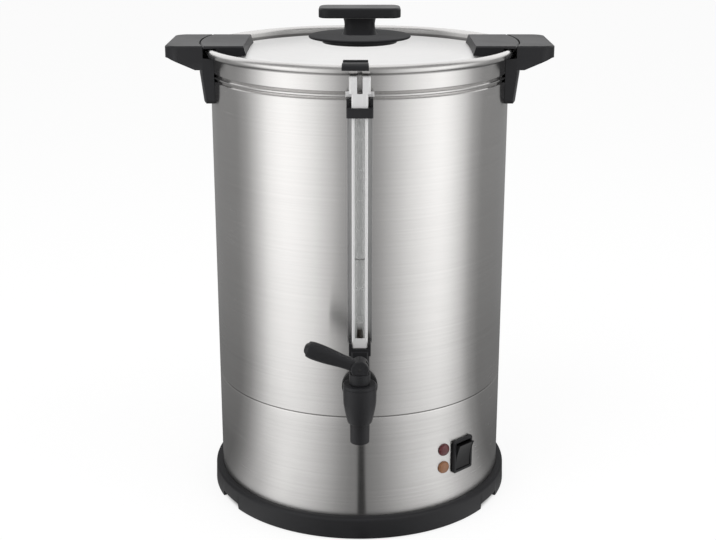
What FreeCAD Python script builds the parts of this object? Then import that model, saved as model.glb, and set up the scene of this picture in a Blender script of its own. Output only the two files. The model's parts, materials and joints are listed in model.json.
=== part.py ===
import FreeCAD, Part
import math
import os

# Coffee urn: a 15 litre percolator with a sight gauge and a lever tap.
# Sizes are in millimetres. The floor is z = 0, the urn's axis is the Z axis and its front, with the tap,
# faces -Y. Cutting tools run a millimetre or more past the faces that they open.

V = FreeCAD.Vector

# Clearances
RUNNING = 0.05       # radial, a shaft in its bearing
FREE = 0.3           # between pieces that move past each other
SNUG = 0.1           # between pieces of one assembly that sit in each other
REACH = 400.0        # length of a cutting tool that has to pass right through
TINY = 1e-6

# Number of flat sides of turned pieces
SCREW_SIDES = 8
TUBE_SIDES = 20
SMALL_SIDES = 20
PUMP_SIDES = 16
TAP_SIDES = 24
INNER_SIDES = 32     # basket, cover, heater
KNOB_SIDES = 36
WIDE_SIDES = 48      # body, base, lid
HEAD_WIDE = 1.8      # a screw head's radius and height over its shank's radius
HEAD_TALL = 1.2

# Steel body
BODY_R = 135.0       # outside of the skirt and the tank
SHEET = 0.8
SEAM_Z = 117.0       # joint between skirt and tank
DRUM_H = 305.0       # seam to the centre of the rolled rim
SEAM_GAP = 0.8
JOGGLE_H = 4.5       # the skirt's stepped edge inside the tank
RIM_ROLL_R = 3.8
RIM_END = -120.0     # where the rolled edge stops, in degrees
RIM_OUTER_FLATS = 6
RIM_INNER_FLATS = 3
BEAD_DROPS = (23.5, 19.2)
BEAD_DEPTH = 1.8
BEAD_HALF = 1.3
FLOOR_RISE = 7.0     # tank floor above the seam
FLOOR_ROUND = 5.0
WELL_R = 33.0
WELL_DEPTH = 6.0
WELL_SLOPE = 3.0

# Base
BASE_R = BODY_R + 7.0
BASE_H = 21.0
BASE_DRAFT = 0.6
BASE_ROUND = 3.2
BASE_WALL = 3.0
BASE_FOOT_W = 16.0   # outer wall to inner wall
LEDGE_Z = 13.0
FLANGE_W = 8.0       # screw flange inside the inner wall
FOOT_PROUD = 1.2
NOTCH_ANGLES = (60.0, 120.0, 240.0, 300.0)   # from the front
NOTCH_SPAN = 13.0    # degrees
NOTCH_H = 6.8
RIB_COUNT = 16
RIB_T = 2.4
FOOT_ANGLES = (45.0, 135.0, 225.0, 315.0)
FOOT_R = 6.0
FOOT_EASE = 0.8
FOOT_SIDES = 12
PLATE_T = 1.0
BASE_SCREWS = 6
BASE_SCREW_R = 1.6
BASE_BOSS_R = 4.2
BASE_BOSS_H = 6.0
VENT_COUNT = 8
VENT_FIRST = 10.0
VENT_W = 5.0
VENT_IN = 62.0
VENT_OUT = 92.0

# Lid
LID_GAP = 1.6        # between the lid's skirt and the tank
LID_DROP = 5.0       # edge of the dome below the rim's centre
DOME_RISE = 10.3
LID_CORNER = 2.0
GASKET_LEG = 1.2
GASKET_UP = 4.8
GASKET_SEAT = 1.9    # gasket's foot above the upper bead's centre
EMBOSS_W = 24.0
EMBOSS_L = 25.0
EMBOSS_H = 0.7
EMBOSS_TURN = -1.5   # degrees
TONGUE_ANGLES = (100.0, 220.0, 340.0)
TONGUE_SPAN = 9.0
TONGUE_T = 1.0
TONGUE_DROP = 15.5   # underside of the tongue's foot below the upper bead
LOCK_TURN = 15.0
CATCH_SPAN = 11.0
CATCH_T = 2.5
CATCH_IN = 3.6       # how far a catch stands in from the tank wall

# Lid ears and lid tab
GRIP_HALF = 43.0     # half the width of handles and ears
GRIP_TOP = 6.4       # top of handles and ears above the rim's centre
GRIP_EASE = 1.2
EAR_IN = BODY_R - 33.0   # inner end of an ear's top, from the axis
EAR_BEVEL = 2.5
EAR_FACE_H = 8.0
GRIP_SEAM_R = BODY_R + 9.0
EAR_SCREW_X = BODY_R - 21.0
EAR_SCREW_Y = 24.0
EAR_SCREW_R = 1.5
TAB_W = 21.4
TAB_T = 1.6
TAB_RIB_H = 1.5
TAB_RIB_T = 2.6
TAB_BACK = BODY_R - 9.0

# Knob
SEAT_R = 33.75
SEAT_H = 3.7
SHIELD_R = 46.5
SHIELD_T = 3.0
STEM_H = 15.4
STEM_L = 28.6
STEM_W = 22.0
STEM_ROUND = 8.0
STEM_FLARE = 3.0
STEM_WAIST = 1.0
STEM_WAIST_AT = 0.4  # share of the stem's height
BAR_L = 73.5
BAR_W = 34.0
BAR_T = 9.6
BAR_ROUND = 9.0
BAR_UNDER_EASE = 1.0
BAR_TOP_EASE = 2.0
KNOB_SCREW_R = 2.5
KNOB_WASHER_R = 9.0
WASHER_T = 1.5

# Handles
PLATE_OUT = BODY_R + 37.0    # outer edge, from the axis
GRIP_T = 10.7
GRIP_CORNER = 12.0
GUSSET_X = PLATE_OUT - 3.0
GUSSET_DROP = 21.0   # foot of the gusset below the grip's top
LEG_T = 9.8
LEG_TOE_T = 6.7
LEG_DROP = 51.0      # leg's end below the grip's top
LEG_CORNER = 3.0
HAND_WALL = 6.0
HAND_TOP = 4.4
HAND_IN = BODY_R + 14.5
HAND_HALF = 35.0
HANDLE_SCREW_Y = 22.0
HANDLE_SCREW_DROP = 42.0
HANDLE_SCREW_R = 2.5
BACKING_H = 14.0
BACKING_SPAN = 28.0

# Tap
TAP_OUT = 45.0       # spout's axis in front of the body
SHANK_RISE = 30.5    # shank's axis above the seam
SHANK_R = 8.0
SHANK_BORE_R = 4.6
SHANK_IN = 17.0      # how far the shank reaches into the tank
TAP_R = 14.0
TAP_TOP = 16.8       # top of the tap's body above the shank's axis
TAP_BELLY = 7.5
TAP_NECK_R = 10.4
TAP_NECK_DROP = 14.2
SPOUT_R = 8.1
SPOUT_BORE_R = 6.0
SPOUT_END = 33.1     # spout's mouth below the shank's axis
SEAT_DROP = 11.5
CHAMBER_R = 7.8
THREAD_R = 10.7
BONNET_H = 2.8
BONNET_SPIGOT = 6.5
BONNET_EASE = 1.0
HUB_R = 8.8
HUB_SPIGOT_R = 6.0
HUB_SINK = 3.0       # floor of the collar's bearing below the bonnet's rim
HUB_H = 9.2
HUB_EASE = 0.8
STEM_R = 3.0
PIN_RISE = 4.8       # lever pin above the hub
VALVE_LIFT = 2.4
PIN_R = 1.5
LEVER_ROOT_R = 7.4
LEVER_EASE = 1.2
LEVER_HALF = 7.3
LEVER_RISE = 21.0    # degrees above level
LEVER_STATIONS = (   # along the arm, width, thickness
    (2.0, 11.4, 9.8), (14.0, 10.8, 10.2), (30.0, 12.6, 13.2), (41.0, 13.4, 13.6), (46.8, 12.4, 11.0),
    (49.0, 9.0, 6.6))
BLADE_T = 4.0
BLADE_EYE_R = 4.2
CUP_R = 6.8
CUP_H = 4.8
SPRING_R = 6.6
SPRING_WIRE_R = 0.6
SPRING_TURNS = 4
SPRING_STEPS = 10    # sections in a turn
NUT_FLATS = 24.0
NUT_T = 7.0
WASHER_R = 15.5

# Sight gauge
GAUGE_OUT = 13.0     # tube's axis in front of the body
TUBE_R = 4.5
TUBE_BORE_R = 3.2
SEAL_T = 1.2
GUARD_W = 13.4
GUARD_DEPTH = 14.0
GUARD_FRONT = 6.5    # guard's front in front of the tube's axis
GUARD_T = 0.9
GUARD_SLOT = 8.5
GUARD_FOOT = 41.3    # guard's lower end above the shank's axis
GUARD_WINDOW = 50.0  # window's lower end above the shank's axis
CLIP_W = 21.7
CLIP_H = 8.1
CLIP_DROP = 36.3     # underside of the clip below the rim's centre
CLIP_ARM_UP = 14.8
CLIP_ARM_T = 2.5
WING_W = 23.4
WING_H = 4.4
WING_DROP = 21.3
FORK_SLOT = 4.4
FORK_W = 17.6
FORK_BEVEL = 1.7
GUARD_BEVEL = 1.0
FORK_DROP = 4.6      # top of the guard below the rim's centre
BACK_W = 21.2
BACK_LIP = 3.4
HOLDER_W = 16.2
HOLDER_UP = 38.5
HOLDER_JAW_UP = 45.6
HOLDER_JAW_T = 2.5
HOLDER_RING_R = 12.0

# Switch and lamps
SWITCH_TURN = 43.6   # degrees to the right of the front
SWITCH_Z = 64.8
SWITCH_W = 24.5
SWITCH_H = 32.0
SWITCH_PROUD = 2.8
SWITCH_BODY_W = 22.4
SWITCH_BODY_H = 28.6
SWITCH_DEPTH = 22.0
ROCKER_HALF_W = 9.3
ROCKER_HALF_H = 12.2
ROCKER_TILT = 10.0   # degrees, either way
ROCKER_PIN_R = 1.5
LAMP_TURN = 34.2
LAMP_HEIGHTS = (("lamp_red", 75.0), ("lamp_amber", 57.7))
LAMP_R = 5.75
LAMP_PROUD = 3.2
LAMP_BODY_R = 4.6
LAMP_DEPTH = 17.0
GLAND_Z = 42.0
GLAND_BORE_R = 4.0
GLAND_R = 8.0
GLAND_FLANGE_R = 11.0

# Heating and wiring
HEATER_IN = 41.0
HEATER_OUT = 92.0
HEATER_T = 4.0
ELEMENT_R = 68.0
ELEMENT_TUBE_R = 4.0
ELEMENT_SPAN = 320.0
CONTROL_R = 11.0
CONTROL_H = 10.0
TIE_ROD_R = 2.5
TIE_ROD_PITCH_R = BODY_R - 29.0
TIE_ROD_ANGLES = (90.0, 210.0, 330.0)
TERMINAL_L = 44.0
TERMINAL_W = 20.0
TERMINAL_H = 15.0

# Percolator
PUMP_R = 6.0
PUMP_WALL = 0.8
PUMP_TOP_DROP = 20.0     # top of the pump tube below the rim's centre
BELL_R = 30.5
BELL_H = 12.0
BASKET_R = 86.0
BASKET_H = 88.0
BASKET_DROP = 134.0      # basket's floor below the rim's centre
BASKET_HOLE_R = 2.2
COVER_H = 3.0

# Levels and radii that follow
TANK_IN = BODY_R - SHEET
FLOOR_Z = SEAM_Z + FLOOR_RISE
RIM_Z = SEAM_Z + DRUM_H
RIM_R = TANK_IN + RIM_ROLL_R
RIM_TOP = RIM_Z + RIM_ROLL_R
BEADS = tuple(RIM_Z - drop for drop in BEAD_DROPS)
LID_R = TANK_IN - LID_GAP
LID_EDGE_Z = RIM_Z - LID_DROP
DOME_TOP = LID_EDGE_Z + DOME_RISE
DOME_R = (LID_R ** 2 + DOME_RISE ** 2) / (2 * DOME_RISE)
CROWN_RADII = (0.0,) + tuple(SEAT_R + (LID_R - SEAT_R) * step / 3 for step in range(4))
GASKET_Z = BEADS[1] + GASKET_SEAT
LID_FOOT_Z = GASKET_Z + GASKET_LEG + FREE
GRIP_Z = RIM_Z + GRIP_TOP
SEAT_TOP = DOME_TOP + SEAT_H
SHIELD_TOP = SEAT_TOP + SHIELD_T
BAR_Z = SHIELD_TOP + STEM_H
TAP_Y = -(BODY_R + TAP_OUT)
SHANK_Z = SEAM_Z + SHANK_RISE
BODY_TOP_Z = SHANK_Z + TAP_TOP
BONNET_TOP = BODY_TOP_Z + SNUG + BONNET_H
HUB_TOP = BONNET_TOP + FREE + HUB_H
PIN_Z = HUB_TOP + PIN_RISE
VALVE_Z = SHANK_Z - SEAT_DROP
CUP_TOP = VALVE_Z + FREE + CUP_H
GAUGE_Y = -(BODY_R + GAUGE_OUT)
GUARD_Y = GAUGE_Y - GUARD_FRONT
GUARD_BACK = GUARD_Y + GUARD_DEPTH
CLIP_Z = RIM_Z - CLIP_DROP
HANDLE_SCREW_Z = GRIP_Z - HANDLE_SCREW_DROP
BASKET_Z = RIM_Z - BASKET_DROP
PUMP_TOP = RIM_Z - PUMP_TOP_DROP
WELL_Z = FLOOR_Z - WELL_DEPTH
HEATER_Z = FLOOR_Z - SHEET - HEATER_T
PLATE_TOP = LEDGE_Z - BASE_WALL


def polar(centre, radius, degrees):
    """Point at an angle on a circle of a plane."""
    turn = math.radians(degrees)
    return centre[0] + radius * math.cos(turn), centre[1] + radius * math.sin(turn)


def arc(centre, radius, start, end):
    """Arc step for a loop: its middle and its end, about a centre, between two angles in degrees."""
    return polar(centre, radius, (start + end) / 2), polar(centre, radius, end)


def flats(centre, radius, start, end, count):
    """Points along an arc of a plane, both ends included, for a curve made of flats."""
    return [polar(centre, radius, start + (end - start) * step / count) for step in range(count + 1)]


def loop(place, start, *steps):
    """Closed wire in a plane. A step is the next point, or a pair (through, end) for an arc."""
    edges = []
    here = start
    for step in steps + (start,):
        if isinstance(step[0], tuple):
            through, end = step
            edges.append(Part.Arc(place(*here), place(*through), place(*end)).toShape())
        elif math.dist(here, step) > TINY:
            end = step
            edges.append(Part.LineSegment(place(*here), place(*end)).toShape())
        here = end
    return Part.Wire(edges)


def lathe(*steps, span=360.0, middle=0.0):
    """Solid of revolution about Z from a loop of radius and height, over a span about a middle angle."""
    face = Part.Face(loop(lambda radius, height: V(radius, 0, height), *steps))
    solid = face.revolve(V(0, 0, 0), V(0, 0, 1), span)
    if span < 360.0:
        solid.rotate(V(0, 0, 0), V(0, 0, 1), middle - span / 2)
    return solid


def turning(*steps, sides):
    """Turned solid with flat sides about Z, from points of radius and height that run anticlockwise."""
    faces = []
    for (radius0, z0), (radius1, z1) in zip(steps, steps[1:] + steps[:1]):
        if max(radius0, radius1) < TINY:
            continue
        for step in range(sides):
            here, there = 360.0 * step / sides, 360.0 * (step + 1) / sides
            quad = [V(*polar((0.0, 0.0), radius, angle), z)
                    for radius, angle, z in ((radius0, here, z0), (radius0, there, z0), (radius1, there, z1),
                                             (radius1, here, z1))]
            corners = [point for last, point in zip(quad[-1:] + quad, quad) if (point - last).Length > TINY]
            faces.append(Part.Face(Part.makePolygon(corners + corners[:1])))
    return Part.Solid(Part.Shell(faces)).removeSplitter()


def clear(radius):
    """Corner radius of a wide flat-sided hollow whose flats just clear a round piece of a radius."""
    return radius / math.cos(math.pi / WIDE_SIDES)


def flat(*steps, z0, z1):
    """Prism between two heights from a loop seen from above."""
    return Part.Face(loop(lambda x, y: V(x, y, z0), *steps)).extrude(V(0, 0, z1 - z0))


def side(*steps, x0, x1):
    """Prism between two X planes from a loop in the Y-Z plane."""
    return Part.Face(loop(lambda y, z: V(x0, y, z), *steps)).extrude(V(x1 - x0, 0, 0))


def front(*steps, y0, y1):
    """Prism between two Y planes from a loop in the X-Z plane."""
    return Part.Face(loop(lambda x, z: V(x, y0, z), *steps)).extrude(V(0, y1 - y0, 0))


def block(x0, x1, y0, y1, z0, z1):
    """Box between two corners."""
    return Part.makeBox(x1 - x0, y1 - y0, z1 - z0, V(x0, y0, z0))


def rod(radius, start, end):
    """Round bar from one point to another."""
    way = V(*end) - V(*start)
    return Part.makeCylinder(radius, way.Length, V(*start), way)


def bar(radius, start, end, sides=SCREW_SIDES):
    """Bar with flat sides from one point to another, for small round pieces and their holes."""
    way = V(*end) - V(*start)
    shape = turning((0.0, 0.0), (radius, 0.0), (radius, way.Length), (0.0, way.Length), sides=sides)
    shape.Placement = FreeCAD.Placement(V(*start), FreeCAD.Rotation(V(0, 0, 1), way))
    return shape


def screw(radius, seat, end):
    """Small screw from the seat of its head to its tip."""
    way = (V(*end) - V(*seat)).normalize()
    back = V(*seat) - way * radius * HEAD_TALL
    return bar(radius * HEAD_WIDE, back, seat).fuse(bar(radius, seat, end)).removeSplitter()


def turned(shape, degrees):
    """Copy turned about the Z axis."""
    copy = shape.copy()
    copy.rotate(V(0, 0, 0), V(0, 0, 1), degrees)
    return copy


def around(shape, count, first=0.0):
    """Copies spread evenly about the Z axis."""
    return [turned(shape, first + 360.0 * step / count) for step in range(count)]


def mirrored(shape):
    """Copy on the other side of the urn, left for right."""
    return shape.mirror(V(0, 0, 0), V(1, 0, 0))


def moved(shape, x, y, z):
    """Copy shifted by a distance."""
    copy = shape.copy()
    copy.translate(V(x, y, z))
    return copy


def rounded(length, width, radius, z, corner_flats=0):
    """Wire of a rectangle centred on the axis at a height, its corners arcs or a few flats."""
    x, y = length / 2, width / 2
    centres = ((x - radius, y - radius), (radius - x, y - radius), (radius - x, radius - y),
               (x - radius, radius - y))
    steps = []
    for turn, centre in enumerate(centres):
        if corner_flats:
            steps += flats(centre, radius, 90.0 * turn, 90.0 * (turn + 1), corner_flats)
        else:
            steps.append(polar(centre, radius, 90.0 * turn))
            steps.append(arc(centre, radius, 90.0 * turn, 90.0 * (turn + 1)))
    return loop(lambda px, py: V(px, py, z), *steps)


def soften(shape, size, chosen):
    """Bevel the edges for which chosen(edge) is true."""
    return shape.makeChamfer(size, [edge for edge in shape.Edges if chosen(edge)])


def at_height(z):
    """Test for an edge that lies wholly at one height."""
    return lambda edge: abs(edge.BoundBox.ZMin - z) < TINY and abs(edge.BoundBox.ZMax - z) < TINY


def crown_z(radius, above=0.0):
    """Height of the lid's crown at a radius, or of a face above it: cones inscribed in a sphere."""
    cones = list(zip(CROWN_RADII, CROWN_RADII[1:]))
    inner, outer = next((cone for cone in cones if radius <= cone[1]), cones[-1])
    high, low = (DOME_TOP - DOME_R + math.sqrt(DOME_R ** 2 - edge ** 2) for edge in (inner, outer))
    return high + (low - high) * (radius - inner) / (outer - inner) + above


def crown(reach, above=0.0):
    """Points of the crown from a radius in to the axis."""
    inside = [radius for radius in CROWN_RADII[::-1] if radius < reach - TINY]
    return [(radius, crown_z(radius, above)) for radius in [reach] + inside]


def base_ring():
    """Moulded ring with a ledge for the skirt, a screwed flange and gussets between flange and wall."""
    inner = BASE_R - BASE_FOOT_W
    wall = BASE_R - BASE_WALL
    under = LEDGE_Z - BASE_WALL
    top = (BASE_R - BASE_DRAFT - BASE_ROUND, BASE_H - BASE_ROUND)
    shape = turning((BASE_R, FOOT_PROUD), *flats(top, BASE_ROUND, 0, 90, 2), (BODY_R + SNUG, BASE_H),
                    (BODY_R + SNUG, LEDGE_Z), (inner - FLANGE_W, LEDGE_Z), (inner - FLANGE_W, under),
                    (wall, under), (wall, FOOT_PROUD), sides=WIDE_SIDES)
    rib = front((inner, under + TINY), (wall + TINY, under + TINY), (wall + TINY, FOOT_PROUD + RIB_T),
                (inner, under - RIB_T), y0=-RIB_T / 2, y1=RIB_T / 2)
    boss_x = inner - FLANGE_W / 2
    boss = bar(BASE_BOSS_R, (boss_x, 0, LEDGE_Z), (boss_x, 0, LEDGE_Z + BASE_BOSS_H))
    pilot = bar(BASE_SCREW_R + SNUG, (boss_x, 0, under), (boss_x, 0, LEDGE_Z + BASE_BOSS_H - 1))
    notch_half = BASE_R * math.tan(math.radians(NOTCH_SPAN / 2))
    notch = block(wall - 1, BASE_R + 1, -notch_half, notch_half, 0, NOTCH_H)
    shape = shape.fuse(around(rib, RIB_COUNT, 180.0 / RIB_COUNT) + around(boss, BASE_SCREWS))
    notches = [turned(notch, angle - 90.0) for angle in NOTCH_ANGLES]
    return shape.cut(notches + around(pilot, BASE_SCREWS)).removeSplitter()


def base_plate():
    inner = BASE_R - BASE_FOOT_W
    low = PLATE_TOP - PLATE_T
    plate = turning((0.0, low), (inner - FREE, low), (inner - FREE, PLATE_TOP), (0.0, PLATE_TOP),
                    sides=WIDE_SIDES)
    x = inner - FLANGE_W / 2
    hole = bar(BASE_SCREW_R + FREE, (x, 0, 0), (x, 0, BASE_H))
    rod_hole = bar(TIE_ROD_R + FREE, (TIE_ROD_PITCH_R, 0, 0), (TIE_ROD_PITCH_R, 0, BASE_H))
    vent = block(VENT_IN, VENT_OUT, -VENT_W / 2, VENT_W / 2, 0, BASE_H)
    rod_holes = [turned(rod_hole, angle) for angle in TIE_ROD_ANGLES]
    return plate.cut(around(hole, BASE_SCREWS) + around(vent, VENT_COUNT, VENT_FIRST) + rod_holes)


def base_screws():
    x = BASE_R - BASE_FOOT_W - FLANGE_W / 2
    one = screw(BASE_SCREW_R, (x, 0, PLATE_TOP - PLATE_T), (x, 0, LEDGE_Z + BASE_BOSS_H - 2))
    return Part.makeCompound(around(one, BASE_SCREWS))


def rubber_feet():
    """Round feet under the flange, behind the outer wall."""
    wall = BASE_R - BASE_WALL
    foot = turning((0.0, 0.0), (FOOT_R - FOOT_EASE, 0.0), (FOOT_R, FOOT_EASE), (FOOT_R, PLATE_TOP),
                   (0.0, PLATE_TOP), sides=FOOT_SIDES)
    foot = moved(foot, wall - SNUG - FOOT_R, 0, 0)
    return Part.makeCompound([turned(foot, angle) for angle in FOOT_ANGLES])


def skirt():
    top = SEAM_Z - SEAM_GAP / 2
    wall = clear(TANK_IN)
    neck = wall - SNUG
    shell = turning((BODY_R, LEDGE_Z), (BODY_R, top - SHEET), (neck, top), (neck, SEAM_Z + JOGGLE_H),
                    (neck - SHEET, SEAM_Z + JOGGLE_H), (neck - SHEET, top - SHEET / 2),
                    (wall, top - 1.5 * SHEET), (wall, LEDGE_Z), sides=WIDE_SIDES)
    half_w, half_h = SWITCH_BODY_W / 2 + SNUG, SWITCH_BODY_H / 2 + SNUG
    window = block(-half_w, half_w, -BODY_R - 5, -BODY_R + 15, SWITCH_Z - half_h, SWITCH_Z + half_h)
    holes = [turned(window, SWITCH_TURN)]
    for _, height in LAMP_HEIGHTS:
        hole = bar(LAMP_BODY_R + SNUG, (0, -BODY_R - 5, height), (0, -BODY_R + 5, height), sides=SMALL_SIDES)
        holes.append(turned(hole, LAMP_TURN))
    holes.append(bar(GLAND_R + SNUG, (0, BODY_R - 5, GLAND_Z), (0, BODY_R + 5, GLAND_Z), sides=SMALL_SIDES))
    return shell.cut(holes)


def bead_steps(radius, half, upwards):
    """Points of the two beads on a wall of a given radius, going up or down it."""
    steps = []
    for bead in BEADS if upwards else BEADS[::-1]:
        way = half if upwards else -half
        steps += [(radius, bead - way), (radius - BEAD_DEPTH, bead), (radius, bead + way)]
    return steps


def tank():
    """Drawn shell with a welled floor, two pressed beads and a rolled rim; the curves are runs of flats."""
    roll = (RIM_R, RIM_Z)
    wall = clear(TANK_IN)
    corner = (wall - FLOOR_ROUND, FLOOR_Z + FLOOR_ROUND)
    shell = turning(
        (BODY_R, SEAM_Z + SEAM_GAP / 2), *bead_steps(BODY_R, BEAD_HALF, True),
        *flats(roll, RIM_ROLL_R - SHEET, 180, RIM_END, RIM_INNER_FLATS),
        *flats(roll, RIM_ROLL_R, RIM_END, 180, RIM_OUTER_FLATS),
        *bead_steps(wall, BEAD_HALF + SHEET / 2, False), *flats(corner, FLOOR_ROUND, 0, -90, 2),
        (WELL_R + WELL_SLOPE, FLOOR_Z), (WELL_R, WELL_Z), (0.0, WELL_Z), (0.0, WELL_Z - SHEET),
        (WELL_R + SHEET / 2, WELL_Z - SHEET), (WELL_R + WELL_SLOPE + SHEET / 2, FLOOR_Z - SHEET),
        (wall, FLOOR_Z - SHEET), (wall, SEAM_Z + SEAM_GAP / 2), sides=WIDE_SIDES)
    holes = [bar(SHANK_R + SNUG, (0, -BODY_R - 5, SHANK_Z), (0, -BODY_R + 10, SHANK_Z), sides=SMALL_SIDES)]
    for spot in handle_screw_spots():
        hole = bar(HANDLE_SCREW_R + SNUG, (BODY_R - 10, 0, HANDLE_SCREW_Z), (BODY_R + 5, 0, HANDLE_SCREW_Z))
        holes.append(turned(hole, spot))
    return shell.cut(holes)


def handle_screw_spots():
    """Angles about the axis of the four screws that hold the handles."""
    turn = math.degrees(math.asin(HANDLE_SCREW_Y / BODY_R))
    return turn, -turn, 180.0 - turn, 180.0 + turn


def lid():
    """Crowned lid with a turned-down edge, an embossed tongue behind the tab and holes for its screws."""
    edge = LID_R - LID_CORNER
    low = LID_EDGE_Z - LID_CORNER
    bend = LID_CORNER * (1 - math.sqrt(0.5))
    inner = clear(LID_R - SHEET)
    shell = turning((LID_R, LID_FOOT_Z), (LID_R, low), (LID_R - bend, crown_z(edge) - bend), *crown(edge),
                    *crown(edge - SHEET, -SHEET)[::-1], (inner, low), (inner, LID_FOOT_Z), sides=WIDE_SIDES)
    holes = [bar(KNOB_SCREW_R + SNUG, (0, 0, LID_FOOT_Z), (0, 0, BAR_Z))]
    return shell.fuse(lid_emboss()).cut(holes + ear_screw_tools(EAR_SCREW_R + SNUG))


def lid_emboss():
    """Raised tongue pressed into the crown behind the tab, with a round inner end."""
    half = EMBOSS_W / 2
    outer = -math.sqrt((TAB_BACK - FREE) ** 2 - half ** 2)
    inner = outer + EMBOSS_L - half
    outline = flat((-half, outer), (half, outer), *flats((0.0, inner), half, 0, 180, 6),
                   z0=LID_FOOT_Z, z1=BAR_Z)
    cap = lathe(*crown(LID_R, EMBOSS_H), *crown(LID_R, -SHEET / 2)[::-1])
    return turned(outline.common(cap), EMBOSS_TURN)


def ear_screw_spots():
    """Places on the lid, seen from above, of the four screws that hold the ears."""
    return [(sign_x * EAR_SCREW_X, sign_y * EAR_SCREW_Y) for sign_x in (1, -1) for sign_y in (1, -1)]


def ear_screw_tools(radius):
    """Upright bars at the four ear screws, from under the lid into the ears."""
    return [bar(radius, (x, y, LID_FOOT_Z), (x, y, GRIP_Z - 2)) for x, y in ear_screw_spots()]


def lid_gasket():
    """Silicone ring round the lower edge of the lid's skirt; its foot rests on the upper bead."""
    inner = clear(LID_R - SHEET - FREE - GASKET_LEG)
    wall = clear(LID_R + FREE)
    outer = TANK_IN - FREE
    ledge = GASKET_Z + GASKET_LEG
    return turning((inner, GASKET_Z), (outer, GASKET_Z), (outer, GASKET_Z + GASKET_UP),
                   (wall, GASKET_Z + GASKET_UP), (wall, ledge), (inner, ledge), sides=WIDE_SIDES)


def lid_tongues():
    """Bent strips inside the lid's skirt whose feet turn under the catches of the tank."""
    joint = LID_R - SHEET - SNUG / 2
    outer = LID_R - SHEET - FREE - GASKET_LEG - FREE
    inner = outer - TONGUE_T
    top = LID_EDGE_Z - LID_CORNER
    foot = BEADS[1] - TONGUE_DROP
    toe = TANK_IN - BEAD_DEPTH - FREE
    joint_z = GASKET_Z + GASKET_UP + FREE
    pieces = [lathe((inner, foot - TONGUE_T), (toe, foot - TONGUE_T), (toe, foot), (outer, foot),
                    (outer, joint_z), (joint, joint_z), (joint, top), (inner, top),
                    span=TONGUE_SPAN, middle=angle)
              for angle in TONGUE_ANGLES]
    return Part.makeCompound(pieces)


def lid_catches():
    """Lugs welded inside the tank, under which the lid's tongues turn."""
    low = BEADS[1] - TONGUE_DROP + FREE
    inner = TANK_IN - CATCH_IN
    pieces = [lathe((inner, low), (TANK_IN - SNUG / 2, low), (TANK_IN - SNUG / 2, low + CATCH_T),
                    (inner, low + CATCH_T), span=CATCH_SPAN, middle=angle - LOCK_TURN)
              for angle in TONGUE_ANGLES]
    return Part.makeCompound(pieces)


def lid_ear():
    """Right-hand ear: a moulded wing that lies on the crown and over the rim, level with the handle."""
    outer = GRIP_SEAM_R - FREE
    reach = math.sqrt(outer ** 2 - GRIP_HALF ** 2)
    low = LID_FOOT_Z
    inner = EAR_IN - EAR_BEVEL
    prism = flat((inner, -GRIP_HALF), (reach, -GRIP_HALF), ((outer, 0.0), (reach, GRIP_HALF)),
                 (inner, GRIP_HALF), z0=low, z1=GRIP_Z)
    prism = soften(prism, GRIP_EASE, at_height(GRIP_Z))
    bevel = front((inner - 1, GRIP_Z - EAR_FACE_H), (inner - 1, GRIP_Z + 1), (EAR_IN, GRIP_Z + 1),
                  (EAR_IN, GRIP_Z), (inner, GRIP_Z - EAR_FACE_H), y0=-GRIP_HALF - 1, y1=GRIP_HALF + 1)
    wall = LID_R + LID_GAP / 4
    under = lathe((0.0, low - 1), (outer + 1, low - 1), (outer + 1, RIM_TOP + FREE), (wall, RIM_TOP + FREE),
                  (wall, crown_z(LID_R, SNUG / 2)), *crown(LID_R, SNUG / 2))
    return prism.cut([bevel, under] + ear_screw_tools(EAR_SCREW_R + SNUG))


def ear_screws():
    """Screws from under the lid into the ears."""
    seat = crown_z(math.hypot(EAR_SCREW_X, EAR_SCREW_Y) + EAR_SCREW_R * HEAD_WIDE, -SHEET) - SNUG
    return Part.makeCompound([screw(EAR_SCREW_R, (x, y, seat), (x, y, GRIP_Z - 3))
                              for x, y in ear_screw_spots()])


def lid_tab():
    """Small hooked tab on the lid's front edge that reaches over the rolled rim."""
    roll = (RIM_R, RIM_Z)
    near = RIM_ROLL_R + FREE
    far = near + TAB_T
    rib = TANK_IN - SHEET
    top = RIM_Z + far
    edge = LID_R - SNUG
    span = math.degrees(TAB_W / RIM_R)
    under = flats(roll, near / math.cos(math.radians(22.5)), 180, 0, 4)
    return lathe(*flats(roll, far, 0, 90, 3), (rib, top), (rib, top + TAB_RIB_H),
                 (rib - TAB_RIB_T, top + TAB_RIB_H), (TAB_BACK, crown_z(TAB_BACK, SNUG / 2)),
                 (edge, crown_z(edge, SNUG / 2)), *under, span=span, middle=-90.0 + EMBOSS_TURN)


def knob_seat():
    shape = turning((0.0, crown_z(0, SNUG / 2)), (SEAT_R, crown_z(SEAT_R, SNUG / 2)), (SEAT_R, SEAT_TOP - 1),
                    (SEAT_R - 1, SEAT_TOP), (0.0, SEAT_TOP), sides=KNOB_SIDES)
    return shape.cut(knob_bore())


def knob_bore():
    """Way for the knob's screw through everything under the grip's bar."""
    return bar(KNOB_SCREW_R + SNUG, (0, 0, LID_FOOT_Z), (0, 0, SHIELD_TOP + STEM_H))


def knob_shield():
    mid = SEAT_TOP + SHIELD_T / 2
    edge = SHIELD_R - 1.2
    shape = turning((0.0, SEAT_TOP), (edge, SEAT_TOP), (SHIELD_R, mid - 0.3), (edge, mid + 0.6),
                    (STEM_L / 2 + STEM_FLARE, SHIELD_TOP), (0.0, SHIELD_TOP), sides=KNOB_SIDES)
    return shape.cut(knob_bore())


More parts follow.
